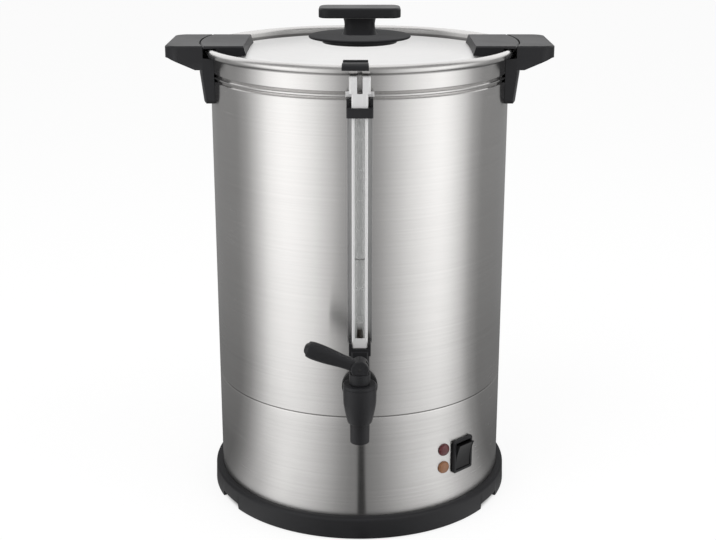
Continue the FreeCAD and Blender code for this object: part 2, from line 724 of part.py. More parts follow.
def knob_grip():
    """T-shaped grip: a waisted oblong stem under a flat bar."""
    stations = ((SHIELD_TOP, STEM_FLARE), (SHIELD_TOP + STEM_H * STEM_WAIST_AT, -STEM_WAIST),
                (BAR_Z + 0.5, STEM_FLARE - STEM_WAIST))
    waist = Part.makeLoft([rounded(STEM_L + flare, STEM_W + flare, STEM_ROUND, z, 2) for z, flare in stations],
                          True, True)
    grip = Part.Face(rounded(BAR_L, BAR_W, BAR_ROUND, BAR_Z, 4)).extrude(V(0, 0, BAR_T))
    grip = soften(grip, BAR_UNDER_EASE, at_height(BAR_Z))
    grip = soften(grip, BAR_TOP_EASE, at_height(BAR_Z + BAR_T))
    return waist.fuse(grip).cut(knob_bore())


def knob_screw():
    """Screw with a wide washer under the crown."""
    seat = DOME_TOP - SHEET - 2 * SNUG
    washer_z = seat - WASHER_T
    washer = bar(KNOB_WASHER_R, (0, 0, washer_z), (0, 0, seat), sides=16)
    shank = screw(KNOB_SCREW_R, (0, 0, washer_z), (0, 0, SHIELD_TOP + STEM_H - 3))
    return shank.fuse(washer).removeSplitter()


def handle():
    """Right-hand handle: a moulded grip with a gusset, a hollow for the fingers and a leg on the wall."""
    corner_x = PLATE_OUT - GRIP_CORNER
    corner_y = GRIP_HALF - GRIP_CORNER
    plan_in = BODY_R / 2
    gusset_foot = GRIP_Z - GUSSET_DROP
    plan = flat((plan_in, -GRIP_HALF), (corner_x, -GRIP_HALF), arc((corner_x, -corner_y), GRIP_CORNER, -90, 0),
                (PLATE_OUT, corner_y), arc((corner_x, corner_y), GRIP_CORNER, 0, 90), (plan_in, GRIP_HALF),
                z0=gusset_foot, z1=GRIP_Z)
    plan = soften(plan, GRIP_EASE, at_height(GRIP_Z))
    gusset_z = GRIP_Z - GRIP_T
    leg_x = BODY_R + LEG_T
    below = front((leg_x, gusset_foot), (GUSSET_X, gusset_z), (PLATE_OUT + 1, gusset_z),
                  (PLATE_OUT + 1, gusset_foot - 1), (leg_x, gusset_foot - 1),
                  y0=-GRIP_HALF - 1, y1=GRIP_HALF + 1)
    hand = block(HAND_IN, PLATE_OUT - HAND_WALL, -HAND_HALF, HAND_HALF, gusset_foot - 1, GRIP_Z - HAND_TOP)
    hand = soften(hand, 2.0, lambda edge: edge.BoundBox.ZLength > 1)
    toe_z = GRIP_Z - LEG_DROP
    sleeve = lathe((BODY_R / 2, toe_z), (BODY_R + LEG_TOE_T, toe_z), (leg_x, toe_z + LEG_DROP / 2),
                   (leg_x, gusset_foot + 2), (BODY_R / 2, gusset_foot + 2))
    turn_y = GRIP_HALF - LEG_CORNER
    turn_z = toe_z + LEG_CORNER
    shield = side((-turn_y, toe_z), (turn_y, toe_z), (GRIP_HALF, turn_z), (GRIP_HALF, GRIP_Z),
                  (-GRIP_HALF, GRIP_Z), (-GRIP_HALF, turn_z), x0=BODY_R / 2, x1=PLATE_OUT)
    seam = GRIP_SEAM_R + FREE
    rim_clear = RIM_Z - RIM_ROLL_R - 1.5
    core = lathe((0.0, toe_z - 1), (BODY_R + SNUG, toe_z - 1), (BODY_R + SNUG, rim_clear),
                 (seam, rim_clear + 1), (seam, GRIP_Z + 1), (0.0, GRIP_Z + 1))
    hole = bar(HANDLE_SCREW_R + SNUG, (BODY_R, 0, HANDLE_SCREW_Z), (BODY_R + LEG_T - 3, 0, HANDLE_SCREW_Z))
    holes = [turned(hole, angle) for angle in handle_screw_spots()[:2]]
    shape = plan.cut([below]).fuse(sleeve.common(shield))
    return shape.cut([core, hand] + holes).removeSplitter()


def handle_screws():
    """Screws from inside the tank into the handles' legs."""
    seat = TANK_IN - SHEET - 2 * SNUG
    one = screw(HANDLE_SCREW_R, (seat, 0, HANDLE_SCREW_Z), (BODY_R + LEG_T - 4, 0, HANDLE_SCREW_Z))
    return Part.makeCompound([turned(one, angle) for angle in handle_screw_spots()])


def handle_backings():
    """Curved strips inside the tank that spread the handle screws' load."""
    low = HANDLE_SCREW_Z - BACKING_H / 2
    outer = TANK_IN - SNUG / 2
    pieces = []
    hole = bar(HANDLE_SCREW_R + SNUG, (BODY_R - 10, 0, HANDLE_SCREW_Z), (BODY_R + 5, 0, HANDLE_SCREW_Z))
    holes = [turned(hole, angle) for angle in handle_screw_spots()]
    for middle in (0.0, 180.0):
        strip = lathe((outer - SHEET, low), (outer, low), (outer, low + BACKING_H),
                      (outer - SHEET, low + BACKING_H), span=BACKING_SPAN, middle=middle)
        pieces.append(strip.cut(holes))
    return Part.makeCompound(pieces)


def tap_body():
    """Moulded tap: bellied barrel, spout, valve chamber and horizontal shank, all bored."""
    bottom = SHANK_Z - SPOUT_END
    belly = SHANK_Z + TAP_BELLY
    neck_z = SHANK_Z - TAP_NECK_DROP
    outside = turning((0.0, bottom), (SPOUT_R, bottom), (SPOUT_R + 0.3, neck_z - 1), (TAP_NECK_R, neck_z),
                      (TAP_R - 1.1, (belly + neck_z) / 2), (TAP_R, belly), (TAP_R, BODY_TOP_Z),
                      (0.0, BODY_TOP_Z), sides=TAP_SIDES)
    hollow = turning((0.0, bottom - 1), (SPOUT_BORE_R, bottom - 1), (SPOUT_BORE_R, VALVE_Z - 5),
                     (SHANK_BORE_R, VALVE_Z - 2.5), (SHANK_BORE_R, VALVE_Z), (CHAMBER_R, VALVE_Z),
                     (CHAMBER_R, SHANK_Z - 1), (THREAD_R, SHANK_Z + 2), (THREAD_R, BODY_TOP_Z + 1),
                     (0.0, BODY_TOP_Z + 1), sides=TAP_SIDES)
    outside = moved(outside, 0, TAP_Y, 0)
    hollow = moved(hollow, 0, TAP_Y, 0)
    end = -BODY_R + SHANK_IN
    shank = bar(SHANK_R, (0, TAP_Y, SHANK_Z), (0, end, SHANK_Z), sides=SMALL_SIDES)
    flange = bar(SHANK_R + 3, (0, TAP_Y, SHANK_Z), (0, holder_front() - SNUG, SHANK_Z), sides=SMALL_SIDES)
    bore = bar(SHANK_BORE_R, (0, TAP_Y, SHANK_Z), (0, end + 1, SHANK_Z), sides=12)
    feed = bar(TUBE_BORE_R, (0, GAUGE_Y, SHANK_Z), (0, GAUGE_Y, SHANK_Z + SHANK_R + 1))
    return outside.fuse([shank, flange]).cut([hollow, bore, feed]).removeSplitter()


def tap_bonnet():
    """Cap screwed into the tap's body, bored for the collar above it and for the stem."""
    low = BODY_TOP_Z + SNUG
    foot = low - BONNET_SPIGOT
    spigot = THREAD_R - SNUG
    shape = turning((0.0, foot), (spigot, foot), (spigot, low), (TAP_R, low),
                    (TAP_R, BONNET_TOP - BONNET_EASE), (TAP_R - BONNET_EASE, BONNET_TOP), (0.0, BONNET_TOP),
                    sides=TAP_SIDES)
    bearing = Part.makeCylinder(HUB_SPIGOT_R + RUNNING, REACH, V(0, 0, low - HUB_SINK))
    bore = Part.makeCylinder(STEM_R + RUNNING, REACH, V(0, 0, 0))
    return moved(shape.cut([bearing, bore]), 0, TAP_Y, 0)


def tap_hub():
    """Swivel collar on the bonnet that the lever's heel stands on."""
    low = BONNET_TOP + FREE
    foot = BODY_TOP_Z + SNUG - HUB_SINK + FREE
    spigot = Part.makeCylinder(HUB_SPIGOT_R, low - foot, V(0, 0, foot))
    collar = turning((0.0, low), (HUB_R, low), (HUB_R, HUB_TOP - HUB_EASE), (HUB_R - HUB_EASE, HUB_TOP),
                     (0.0, HUB_TOP), sides=SMALL_SIDES)
    bore = Part.makeCylinder(STEM_R + RUNNING, REACH, V(0, 0, 0))
    return moved(spigot.fuse(collar).cut(bore), 0, TAP_Y, 0)


def tap_stem():
    """Valve stem with a spring collar below and the lever's eye above."""
    neck = HUB_TOP - VALVE_LIFT - FREE
    tip = STEM_R - 1
    collar = turning((0.0, CUP_TOP - 3), (tip, CUP_TOP - 3), (tip, CUP_TOP), (SPRING_R + 0.8, CUP_TOP),
                     (SPRING_R + 0.8, CUP_TOP + 1), (0.0, CUP_TOP + 1), sides=12)
    shaft = collar.fuse(Part.makeCylinder(STEM_R, neck - CUP_TOP, V(0, 0, CUP_TOP)))
    shaft = moved(shaft, 0, TAP_Y, 0)
    half = BLADE_T / 2
    reach = math.sqrt(STEM_R ** 2 - half ** 2)
    eye = bar(BLADE_EYE_R, (0, TAP_Y - half, PIN_Z), (0, TAP_Y + half, PIN_Z), sides=16)
    blade = block(-reach, reach, TAP_Y - half, TAP_Y + half, neck, PIN_Z)
    hole = rod(PIN_R + SNUG / 2, (0, TAP_Y - half - 1, PIN_Z), (0, TAP_Y + half + 1, PIN_Z))
    return shaft.fuse([blade, eye]).cut(hole)


def tap_seat_cup():
    low = VALVE_Z + FREE
    bore = STEM_R - 1 + SNUG
    shape = turning((0.0, low), (CUP_R - 1, low), (CUP_R, low + 1), (CUP_R, CUP_TOP), (bore, CUP_TOP),
                    (bore, CUP_TOP - 3 - SNUG), (0.0, CUP_TOP - 3 - SNUG), sides=12)
    return moved(shape, 0, TAP_Y, 0)


def tap_spring():
    """Coil spring between the stem's collar and the bonnet, lofted through six-sided sections of the wire."""
    low = CUP_TOP + 1 + SPRING_WIRE_R + SNUG
    high = BODY_TOP_Z + SNUG - BONNET_SPIGOT - SPRING_WIRE_R - SNUG
    sections = []
    for step in range(SPRING_TURNS * SPRING_STEPS + 1):
        turn = 360.0 * step / SPRING_STEPS
        middle = low + (high - low) * step / (SPRING_TURNS * SPRING_STEPS)
        outline = [polar((SPRING_R, middle), SPRING_WIRE_R, 60.0 * side_of) for side_of in range(6)]
        section = loop(lambda radius, height: V(radius, 0, height), *outline)
        sections.append(moved(turned(section, turn), 0, TAP_Y, 0))
    return Part.makeLoft(sections, True, True)


def lever_point(along, above):
    """Place on the lever in the X-Z plane: along its arm from the pin, and square to it."""
    across, up = math.cos(math.radians(LEVER_RISE)), math.sin(math.radians(LEVER_RISE))
    return -along * across + above * up, PIN_Z + along * up + above * across


def lever_section(along, width, thick):
    """Cross-section of the lever's arm with bevelled corners."""
    across, up = math.cos(math.radians(LEVER_RISE)), math.sin(math.radians(LEVER_RISE))
    x, z = lever_point(along, 0.0)
    wire = rounded(width, thick, min(width, thick) * 0.4, 0.0, 1)
    frame = FreeCAD.Matrix(0, up, -across, x, 1, 0, 0, TAP_Y, 0, across, up, z)
    return wire.transformGeometry(frame)


def tap_lever():
    """Long lever: round root over the hub, slotted for the stem, and an arm that swells to a paddle."""
    length = 2 * LEVER_HALF
    face_r = LEVER_ROOT_R - LEVER_EASE
    root = turning((0.0, 0.0), (face_r, 0.0), (LEVER_ROOT_R, LEVER_EASE), (LEVER_ROOT_R, length - LEVER_EASE),
                   (face_r, length), (0.0, length), sides=TAP_SIDES)
    towards_back = FreeCAD.Rotation(V(0, 0, 1), V(0, 1, 0))
    root.Placement = FreeCAD.Placement(V(0, TAP_Y - LEVER_HALF, PIN_Z), towards_back)
    arm = Part.makeLoft([lever_section(*station) for station in LEVER_STATIONS], True, True)
    heel = block(-LEVER_ROOT_R - 2, LEVER_ROOT_R + 2, TAP_Y - LEVER_HALF - 1, TAP_Y + LEVER_HALF + 1,
                 HUB_TOP - 10, HUB_TOP + FREE)
    half = BLADE_T / 2 + FREE
    slot = block(-6.2, LEVER_ROOT_R + 2, TAP_Y - half, TAP_Y + half, HUB_TOP - 5, PIN_Z + BLADE_EYE_R + 1)
    hole = rod(PIN_R + RUNNING, (0, TAP_Y - LEVER_HALF - 1, PIN_Z), (0, TAP_Y + LEVER_HALF + 1, PIN_Z))
    return root.fuse(arm).cut([heel, slot, hole])


def tap_pin():
    half = LEVER_HALF - FREE
    return rod(PIN_R, (0, TAP_Y - half, PIN_Z), (0, TAP_Y + half, PIN_Z))


def tap_washers():
    """Rubber washers outside and inside the tank wall, fitted to its curve."""
    bore = bar(SHANK_R + SNUG, (0, -BODY_R - 20, SHANK_Z), (0, 0, SHANK_Z), sides=SMALL_SIDES)
    outer = bar(WASHER_R, (0, holder_back() + SNUG, SHANK_Z), (0, -BODY_R + 5, SHANK_Z), sides=SMALL_SIDES)
    outer = outer.cut([bore, Part.makeCylinder(BODY_R + SNUG, REACH, V(0, 0, 0))])
    inner = bar(WASHER_R, (0, -BODY_R - 5, SHANK_Z), (0, washer_inner_y(), SHANK_Z), sides=SMALL_SIDES)
    inner = inner.common(Part.makeCylinder(TANK_IN - SNUG, REACH, V(0, 0, 0))).cut(bore)
    return Part.makeCompound([outer, inner])


def washer_inner_y():
    return -TANK_IN + 3.5


def tap_nut():
    y0 = washer_inner_y() + SNUG
    across = NUT_FLATS / math.sqrt(3)
    corners = [polar((0.0, SHANK_Z), across, 60.0 * step) for step in range(6)]
    nut = front(*corners, y0=y0, y1=y0 + NUT_T)
    return nut.cut(bar(SHANK_R + SNUG, (0, y0 - 1, SHANK_Z), (0, y0 + NUT_T + 1, SHANK_Z), sides=SMALL_SIDES))


def holder_front():
    return GUARD_Y - HOLDER_JAW_T


def holder_back():
    return -BODY_R - 4.0


def gauge_holder():
    """Moulded foot of the gauge: a ring on the tap's shank, a socket for the tube, two jaws for the guard."""
    half = HOLDER_W / 2
    top = SHANK_Z + HOLDER_UP
    collar = bar(HOLDER_RING_R, (0, holder_front(), SHANK_Z), (0, holder_back(), SHANK_Z), sides=SMALL_SIDES)
    post = block(-half, half, holder_front(), holder_back(), SHANK_Z, top)
    post = soften(post, 2.0, lambda edge: edge.BoundBox.ZLength > 1)
    jaw_in = GUARD_W / 2 + SNUG
    jaw_out = jaw_in + HOLDER_JAW_T
    jaws = block(-jaw_out, jaw_out, holder_front() + 1, holder_back() - 2, top - 4, SHANK_Z + HOLDER_JAW_UP)
    gap = block(-jaw_in, jaw_in, holder_front() - 1, holder_back() + 1, SHANK_Z + GUARD_FOOT - SNUG, RIM_Z)
    bore = bar(SHANK_R + SNUG, (0, holder_front() - 1, SHANK_Z), (0, holder_back() + 1, SHANK_Z),
               sides=SMALL_SIDES)
    socket = gauge_bar(TUBE_R + SEAL_T, top - 12, RIM_Z)
    feed = gauge_bar(TUBE_R + SNUG, SHANK_Z + SHANK_R + 4, RIM_Z)
    port = gauge_bar(TUBE_BORE_R, SHANK_Z, SHANK_Z + SHANK_R + 6)
    return collar.fuse([post, jaws]).cut([gap, bore, socket, feed, port]).removeSplitter()


def gauge_bar(radius, z0, z1):
    """Bar on the gauge tube's axis."""
    return bar(radius, (0, GAUGE_Y, z0), (0, GAUGE_Y, z1), sides=TUBE_SIDES)


def gauge_tube():
    low, high = SHANK_Z + SHANK_R + 4 + SNUG, CLIP_Z + CLIP_H - 1.5
    return gauge_bar(TUBE_R, low, high).cut(gauge_bar(TUBE_BORE_R, low - 1, high + 1))


def gauge_seals():
    """Rubber sleeves that seal the tube in the holder and the clip."""
    seals = []
    holder_top = SHANK_Z + HOLDER_UP
    for low, high in ((holder_top - 12 + SNUG, holder_top - 1), (CLIP_Z + 0.5, CLIP_Z + CLIP_H - 2)):
        sleeve = gauge_bar(TUBE_R + SEAL_T - SNUG, low, high)
        seals.append(sleeve.cut(gauge_bar(TUBE_R + SNUG, low - 1, high + 1)))
    return Part.makeCompound(seals)


def upright_in_front(edge):
    """Test for an upright edge at the guard's front."""
    return edge.BoundBox.ZLength > 1 and edge.BoundBox.YMax < GUARD_Y + 1


def gauge_guard():
    """Bright channel around the tube: windowed front, wings, and a wider forked head above the clip."""
    half = GUARD_W / 2
    fork_half = FORK_W / 2
    low = SHANK_Z + GUARD_FOOT
    top = RIM_Z - FORK_DROP
    wing_z = RIM_Z - WING_DROP
    fork_z = wing_z + WING_H
    column = block(-half, half, GUARD_Y, GUARD_BACK, low, fork_z + GUARD_T)
    head = block(-fork_half, fork_half, GUARD_Y, GUARD_BACK, fork_z, top)
    column = soften(column, GUARD_BEVEL, upright_in_front)
    head = soften(head, FORK_BEVEL, upright_in_front)
    inside = block(-half + GUARD_T, half - GUARD_T, GUARD_Y + GUARD_T, GUARD_BACK + 1, low - 1,
                   fork_z + GUARD_T + 1)
    head_inside = block(-fork_half + GUARD_T, fork_half - GUARD_T, GUARD_Y + GUARD_T, GUARD_BACK + 1,
                        fork_z + GUARD_T, top - GUARD_T)
    head_inside = soften(head_inside, FORK_BEVEL - GUARD_T / 2, upright_in_front)
    slot = GUARD_SLOT / 2
    window = block(-slot, slot, GUARD_Y - 1, GUARD_Y + 2, SHANK_Z + GUARD_WINDOW, CLIP_Z)
    fork = block(-FORK_SLOT / 2, FORK_SLOT / 2, GUARD_Y - 1, GUARD_BACK + 1, fork_z, top + 1)
    wing = block(half - GUARD_T, WING_W / 2, GUARD_BACK - 1.2, GUARD_BACK, wing_z, fork_z)
    shape = column.fuse([head, wing, mirrored(wing)])
    return shape.cut([inside, head_inside, window, fork]).removeSplitter()


def gauge_clip():
    """Black clip round the guard's head, with two arms that reach up to the wings."""
    half = CLIP_W / 2
    guard_half = GUARD_W / 2 + SNUG
    back = -BODY_R - SNUG
    front_y = GUARD_Y - 1.4
    body = block(-half, half, front_y, -BODY_R + 2, CLIP_Z, CLIP_Z + CLIP_H)
    arm = block(half - CLIP_ARM_T, half, GUARD_BACK - 8, -BODY_R + 2, CLIP_Z + 1, CLIP_Z + CLIP_ARM_UP)
    shape = body.fuse([arm, mirrored(arm)])
    shape = soften(shape, 1.0, lambda edge: edge.BoundBox.ZLength > 1 and edge.BoundBox.YMax < front_y + TINY)
    wall = Part.makeCylinder(-back, REACH, V(0, 0, CLIP_Z - 10))
    guard_inner = GUARD_W / 2 - GUARD_T - SNUG
    channel = block(-guard_half, guard_half, GUARD_Y - SNUG, GUARD_BACK + SNUG, CLIP_Z - 1,
                    CLIP_Z + CLIP_ARM_UP)
    plug = block(-guard_inner, guard_inner, GAUGE_Y, GUARD_BACK + SNUG, CLIP_Z, CLIP_Z + CLIP_H)
    socket = gauge_bar(TUBE_R + SEAL_T, CLIP_Z - 10, RIM_Z)
    backing = block(-BACK_W / 2 - SNUG, BACK_W / 2 + SNUG, -BODY_R - SHEET - 2 * SNUG, -BODY_R + 5,
                    CLIP_Z - 1, CLIP_Z + CLIP_ARM_UP + 1)
    return shape.cut([wall, channel, backing]).fuse(plug).cut(socket).removeSplitter()


def gauge_back():
    """Shallow steel channel behind the guard, flat on the tank's wall."""
    half = BACK_W / 2
    y0 = -BODY_R - SNUG
    low = SHANK_Z + HOLDER_UP + 2
    high = CLIP_Z - SNUG
    strip = block(-half, half, y0 - SHEET, y0, low, high)
    lip = block(half - SHEET, half, y0 - BACK_LIP, y0, low, high)
    return strip.fuse([lip, mirrored(lip)]).removeSplitter()


def switch_housing():
    """Bezel and body of the rocker switch, with its three terminal blades behind."""
    half_w, half_h = SWITCH_W / 2, SWITCH_H / 2
    y_front = -BODY_R - SWITCH_PROUD
    bezel = block(-half_w, half_w, y_front, -BODY_R - SNUG, SWITCH_Z - half_h, SWITCH_Z + half_h)
    bezel = soften(bezel, 1.5, lambda edge: edge.BoundBox.YLength > 1)
    bezel = soften(bezel, 0.7, lambda edge: abs(edge.BoundBox.YMax - y_front) < TINY)
    body_w, body_h = SWITCH_BODY_W / 2, SWITCH_BODY_H / 2
    body = block(-body_w, body_w, -BODY_R - 1, -BODY_R + SWITCH_DEPTH, SWITCH_Z - body_h, SWITCH_Z + body_h)
    well_w, well_h = ROCKER_HALF_W + FREE, ROCKER_HALF_H + 1.1
    well = block(-well_w, well_w, y_front - 1, -BODY_R + 9, SWITCH_Z - well_h, SWITCH_Z + well_h)
    pivot = rod(ROCKER_PIN_R + RUNNING, (-well_w - 1.3, -BODY_R, SWITCH_Z), (well_w + 1.3, -BODY_R, SWITCH_Z))
    blades = [block(-3, 3, -BODY_R + SWITCH_DEPTH - 1, -BODY_R + SWITCH_DEPTH + 8, SWITCH_Z + dz - 0.4,
                    SWITCH_Z + dz + 0.4) for dz in (-8.0, 0.0, 8.0)]
    return turned(bezel.fuse([body] + blades).cut([well, pivot]), SWITCH_TURN)


def switch_rocker():
    """Dished rocker on two side trunnions, at rest with its lower end pressed in."""
    tall, deep = ROCKER_HALF_H, 5.0

    def local(out, up):
        across, along = math.cos(math.radians(ROCKER_TILT)), math.sin(math.radians(ROCKER_TILT))
        return -BODY_R - out * across + up * along, SWITCH_Z + out * along + up * across

    dish = [local(2.6 + 1.4 * share ** 2, tall * share) for share in (-1.0, -0.5, 0.0, 0.5, 1.0)]
    body = side(local(-deep, -8.0), *dish, local(-deep, 8.0), x0=-ROCKER_HALF_W, x1=ROCKER_HALF_W)
    pin_half = ROCKER_HALF_W + 1.4
    pins = rod(ROCKER_PIN_R, (-pin_half, -BODY_R, SWITCH_Z), (pin_half, -BODY_R, SWITCH_Z))
    return turned(body.fuse(pins), SWITCH_TURN)


def lamp(height):
    """Indicator lamp: a low domed lens on a round body that passes through the skirt."""
    seat = BODY_R + SNUG
    top = seat + LAMP_PROUD
    back = BODY_R - LAMP_DEPTH
    face = turning((0.0, back), (LAMP_BODY_R, back), (LAMP_BODY_R, seat), (LAMP_R, seat),
                   (LAMP_R, seat + 0.8), (LAMP_R * 0.8, top - 1.1), (LAMP_R * 0.45, top - 0.3), (0.0, top),
                   sides=SMALL_SIDES)
    face.rotate(V(0, 0, 0), V(1, 0, 0), 90)
    return turned(moved(face, 0, 0, height), LAMP_TURN)


def cord_gland():
    """Bush for the mains lead, low on the back of the skirt, with its nut inside."""
    nut = TANK_IN - SNUG - FREE
    flange = BODY_R + SNUG
    shape = turning((0.0, TANK_IN - 6), (GLAND_R + 1.4, TANK_IN - 6), (GLAND_R + 1.4, nut), (GLAND_R, nut),
                    (GLAND_R, flange), (GLAND_FLANGE_R, flange), (GLAND_FLANGE_R, BODY_R + 2.2),
                    (GLAND_FLANGE_R - 4, BODY_R + 6), (0.0, BODY_R + 6), sides=SMALL_SIDES)
    shape = shape.cut(Part.makeCylinder(GLAND_BORE_R, REACH, V(0, 0, 0)))
    shape.rotate(V(0, 0, 0), V(1, 0, 0), -90)
    return moved(shape, 0, 0, GLAND_Z)


def heater_plate():
    return turning((HEATER_IN, HEATER_Z), (HEATER_OUT, HEATER_Z), (HEATER_OUT, FLOOR_Z - SHEET),
                   (HEATER_IN, FLOOR_Z - SHEET), sides=INNER_SIDES)


def heating_element():
    """Sheathed heating element pressed flat against the heater plate, with its two cold ends turned down."""
    z = HEATER_Z - SNUG / 2 - ELEMENT_TUBE_R * math.sin(math.radians(60.0))
    section = [polar((ELEMENT_R, z), ELEMENT_TUBE_R, 60.0 * step) for step in range(6)]
    half = (360.0 - ELEMENT_SPAN) / 2
    gap = flat((0.0, 0.0), polar((0.0, 0.0), REACH, 90.0 - half), polar((0.0, 0.0), REACH, 90.0 + half),
               z0=z - ELEMENT_R, z1=z + ELEMENT_R)
    ends = []
    for sign in (1, -1):
        x, y = polar((0.0, 0.0), ELEMENT_R, 90.0 + sign * (half + 1.5))
        ends.append(bar(ELEMENT_TUBE_R * 0.6, (x, y, z - 24), (x, y, z)))
    return turning(*section, sides=INNER_SIDES).cut(gap).fuse(ends)


def thermal_control(angle):
    """Round control pressed up against the heater plate."""
    x, y = polar((0.0, 0.0), (HEATER_IN + ELEMENT_R - ELEMENT_TUBE_R) / 2, angle)
    top = HEATER_Z - SNUG
    return bar(CONTROL_R, (x, y, top - CONTROL_H), (x, y, top), sides=16)


def tie_rods():
    """Long bolts that draw the base plate up against the tank's floor, each into a boss welded under it."""
    boss_top = FLOOR_Z - SHEET - SNUG / 2
    x = TIE_ROD_PITCH_R
    bolt = screw(TIE_ROD_R, (x, 0, PLATE_TOP - PLATE_T), (x, 0, boss_top - 1))
    bolt = bolt.fuse(bar(TIE_ROD_R * HEAD_WIDE, (x, 0, boss_top - 6), (x, 0, boss_top))).removeSplitter()
    return Part.makeCompound([turned(bolt, angle) for angle in TIE_ROD_ANGLES])


def terminal_block():
    x, y = TERMINAL_L / 2, TERMINAL_W / 2
    middle = VENT_IN / 2
    top = PLATE_TOP + TERMINAL_H
    body = block(-x, x, middle - y, middle + y, PLATE_TOP, top)
    groove = block(-x - 1, x + 1, middle - 2, middle + 2, top - 4, top + 1)
    wells = [block(px - 2, px + 2, py - 2, py + 2, top - 5, top + 1)
             for px in (-x / 2, 0.0, x / 2) for py in (middle - 6, middle + 6)]
    return body.cut([groove] + wells)


def pump_tube():
    """Percolator tube with a bell that stands in the well and a collar that carries the basket."""
    foot = WELL_Z + FREE
    outer, inner = PUMP_R, PUMP_R - PUMP_WALL
    bell_top = foot + BELL_H
    collar = BASKET_Z - SHEET - FREE
    shape = turning((BELL_R - PUMP_WALL, foot), (BELL_R, foot), (BELL_R, foot + 2), (outer, bell_top),
                    (outer, collar - 4.2), (outer + 4.2, collar), (outer, collar), (outer, PUMP_TOP),
                    (inner, PUMP_TOP), (inner, bell_top - 1.2), (BELL_R - PUMP_WALL, foot + 1.4),
                    sides=PUMP_SIDES)
    slot = block(-BELL_R - 1, BELL_R + 1, -2.5, 2.5, foot - 1, foot + 1.5)
    return shape.cut([slot, turned(slot, 90)])


def percolator_holes(radius, z0, z1):
    """Two rings of holes in the basket's floor or its cover."""
    holes = []
    for pitch, count in ((BASKET_R * 0.4, 6), (BASKET_R * 0.72, 10)):
        holes += around(bar(radius, (pitch, 0, z0), (pitch, 0, z1), sides=6), count)
    return holes


def sleeve_tube(z0, z1):
    """Sleeve that slides over the pump tube."""
    inner = PUMP_R + 0.5
    return turning((inner, z0), (inner + SHEET, z0), (inner + SHEET, z1), (inner, z1), sides=PUMP_SIDES)


def coffee_basket():
    """Perforated basket with a sleeve that slides over the pump tube."""
    low = BASKET_Z - SHEET
    top = BASKET_Z + BASKET_H
    shape = turning((0.0, low), (BASKET_R - 3, low), (BASKET_R, low + 3), (BASKET_R, top),
                    (BASKET_R - SHEET, top), (BASKET_R - SHEET, low + 3 + SHEET / 2),
                    (BASKET_R - 3 - SHEET / 2, BASKET_Z), (0.0, BASKET_Z), sides=INNER_SIDES)
    way = bar(PUMP_R + 0.5, (0, 0, low - 1), (0, 0, top), sides=PUMP_SIDES)
    shape = shape.fuse(sleeve_tube(low, top - 4))
    return shape.cut([way] + percolator_holes(BASKET_HOLE_R, low - 1, BASKET_Z + 1))


def basket_cover():
    """Perforated spreader that lies on the basket, with a spigot inside its wall."""
    low = BASKET_Z + BASKET_H + FREE
    spigot = BASKET_R - SHEET - FREE
    edge = BASKET_R + 1.2
    shape = turning((0.0, low - 2), (spigot, low - 2), (spigot, low), (edge, low), (edge, low + SHEET),
                    (0.0, low + SHEET), sides=INNER_SIDES)
    way = bar(PUMP_R + 0.5, (0, 0, low - 3), (0, 0, RIM_Z), sides=PUMP_SIDES)
    shape = shape.fuse(sleeve_tube(low, low + COVER_H))
    return shape.cut([way] + percolator_holes(BASKET_HOLE_R * 0.8, low - 3, low + SHEET + 1))


def pieces():
    """Every piece by name."""
    right_handle = handle()
    right_ear = lid_ear()
    made = {
        "base_ring": base_ring(),
        "base_plate": base_plate(),
        "base_screws": base_screws(),
        "rubber_feet": rubber_feet(),
        "skirt": skirt(),
        "tank": tank(),
        "handle_right": right_handle,
        "handle_left": mirrored(right_handle),
        "handle_screws": handle_screws(),
        "handle_backings": handle_backings(),
        "lid_catches": lid_catches(),
        "lid_gasket": lid_gasket(),
        "lid": lid(),
        "lid_tongues": lid_tongues(),
        "lid_ear_right": right_ear,
        "lid_ear_left": mirrored(right_ear),
        "ear_screws": ear_screws(),
        "lid_tab": lid_tab(),
        "knob_seat": knob_seat(),
        "knob_shield": knob_shield(),
        "knob_grip": knob_grip(),
        "knob_screw": knob_screw(),
        "gauge_holder": gauge_holder(),
        "gauge_tube": gauge_tube(),
        "gauge_seals": gauge_seals(),
        "gauge_guard": gauge_guard(),
        "gauge_clip": gauge_clip(),
        "gauge_back": gauge_back(),
        "tap_body": tap_body(),
        "tap_bonnet": tap_bonnet(),
        "tap_hub": tap_hub(),
        "tap_stem": tap_stem(),
        "tap_seat_cup": tap_seat_cup(),
        "tap_spring": tap_spring(),
        "tap_lever": tap_lever(),
        "tap_pin": tap_pin(),
        "tap_washers": tap_washers(),
        "tap_nut": tap_nut(),
        "switch_housing": switch_housing(),
        "switch_rocker": switch_rocker(),
        "cord_gland": cord_gland(),
        "heater_plate": heater_plate(),
        "heating_element": heating_element(),
        "thermostat": thermal_control(10.0),
        "boil_dry_cutout": thermal_control(170.0),
        "tie_rods": tie_rods(),
        "terminal_block": terminal_block(),
        "pump_tube": pump_tube(),
        "coffee_basket": coffee_basket(),
        "basket_cover": basket_cover(),
    }
    for name, height in LAMP_HEIGHTS:
        made[name] = lamp(height)
    return made


def main():
    os.makedirs("parts", exist_ok=True)
    for name, shape in pieces().items():
        if not shape.isValid():
            print("not valid:", name)
        shape.exportStep(f"parts/{name}.step")


main()
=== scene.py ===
import json
import math
from functools import partialmethod

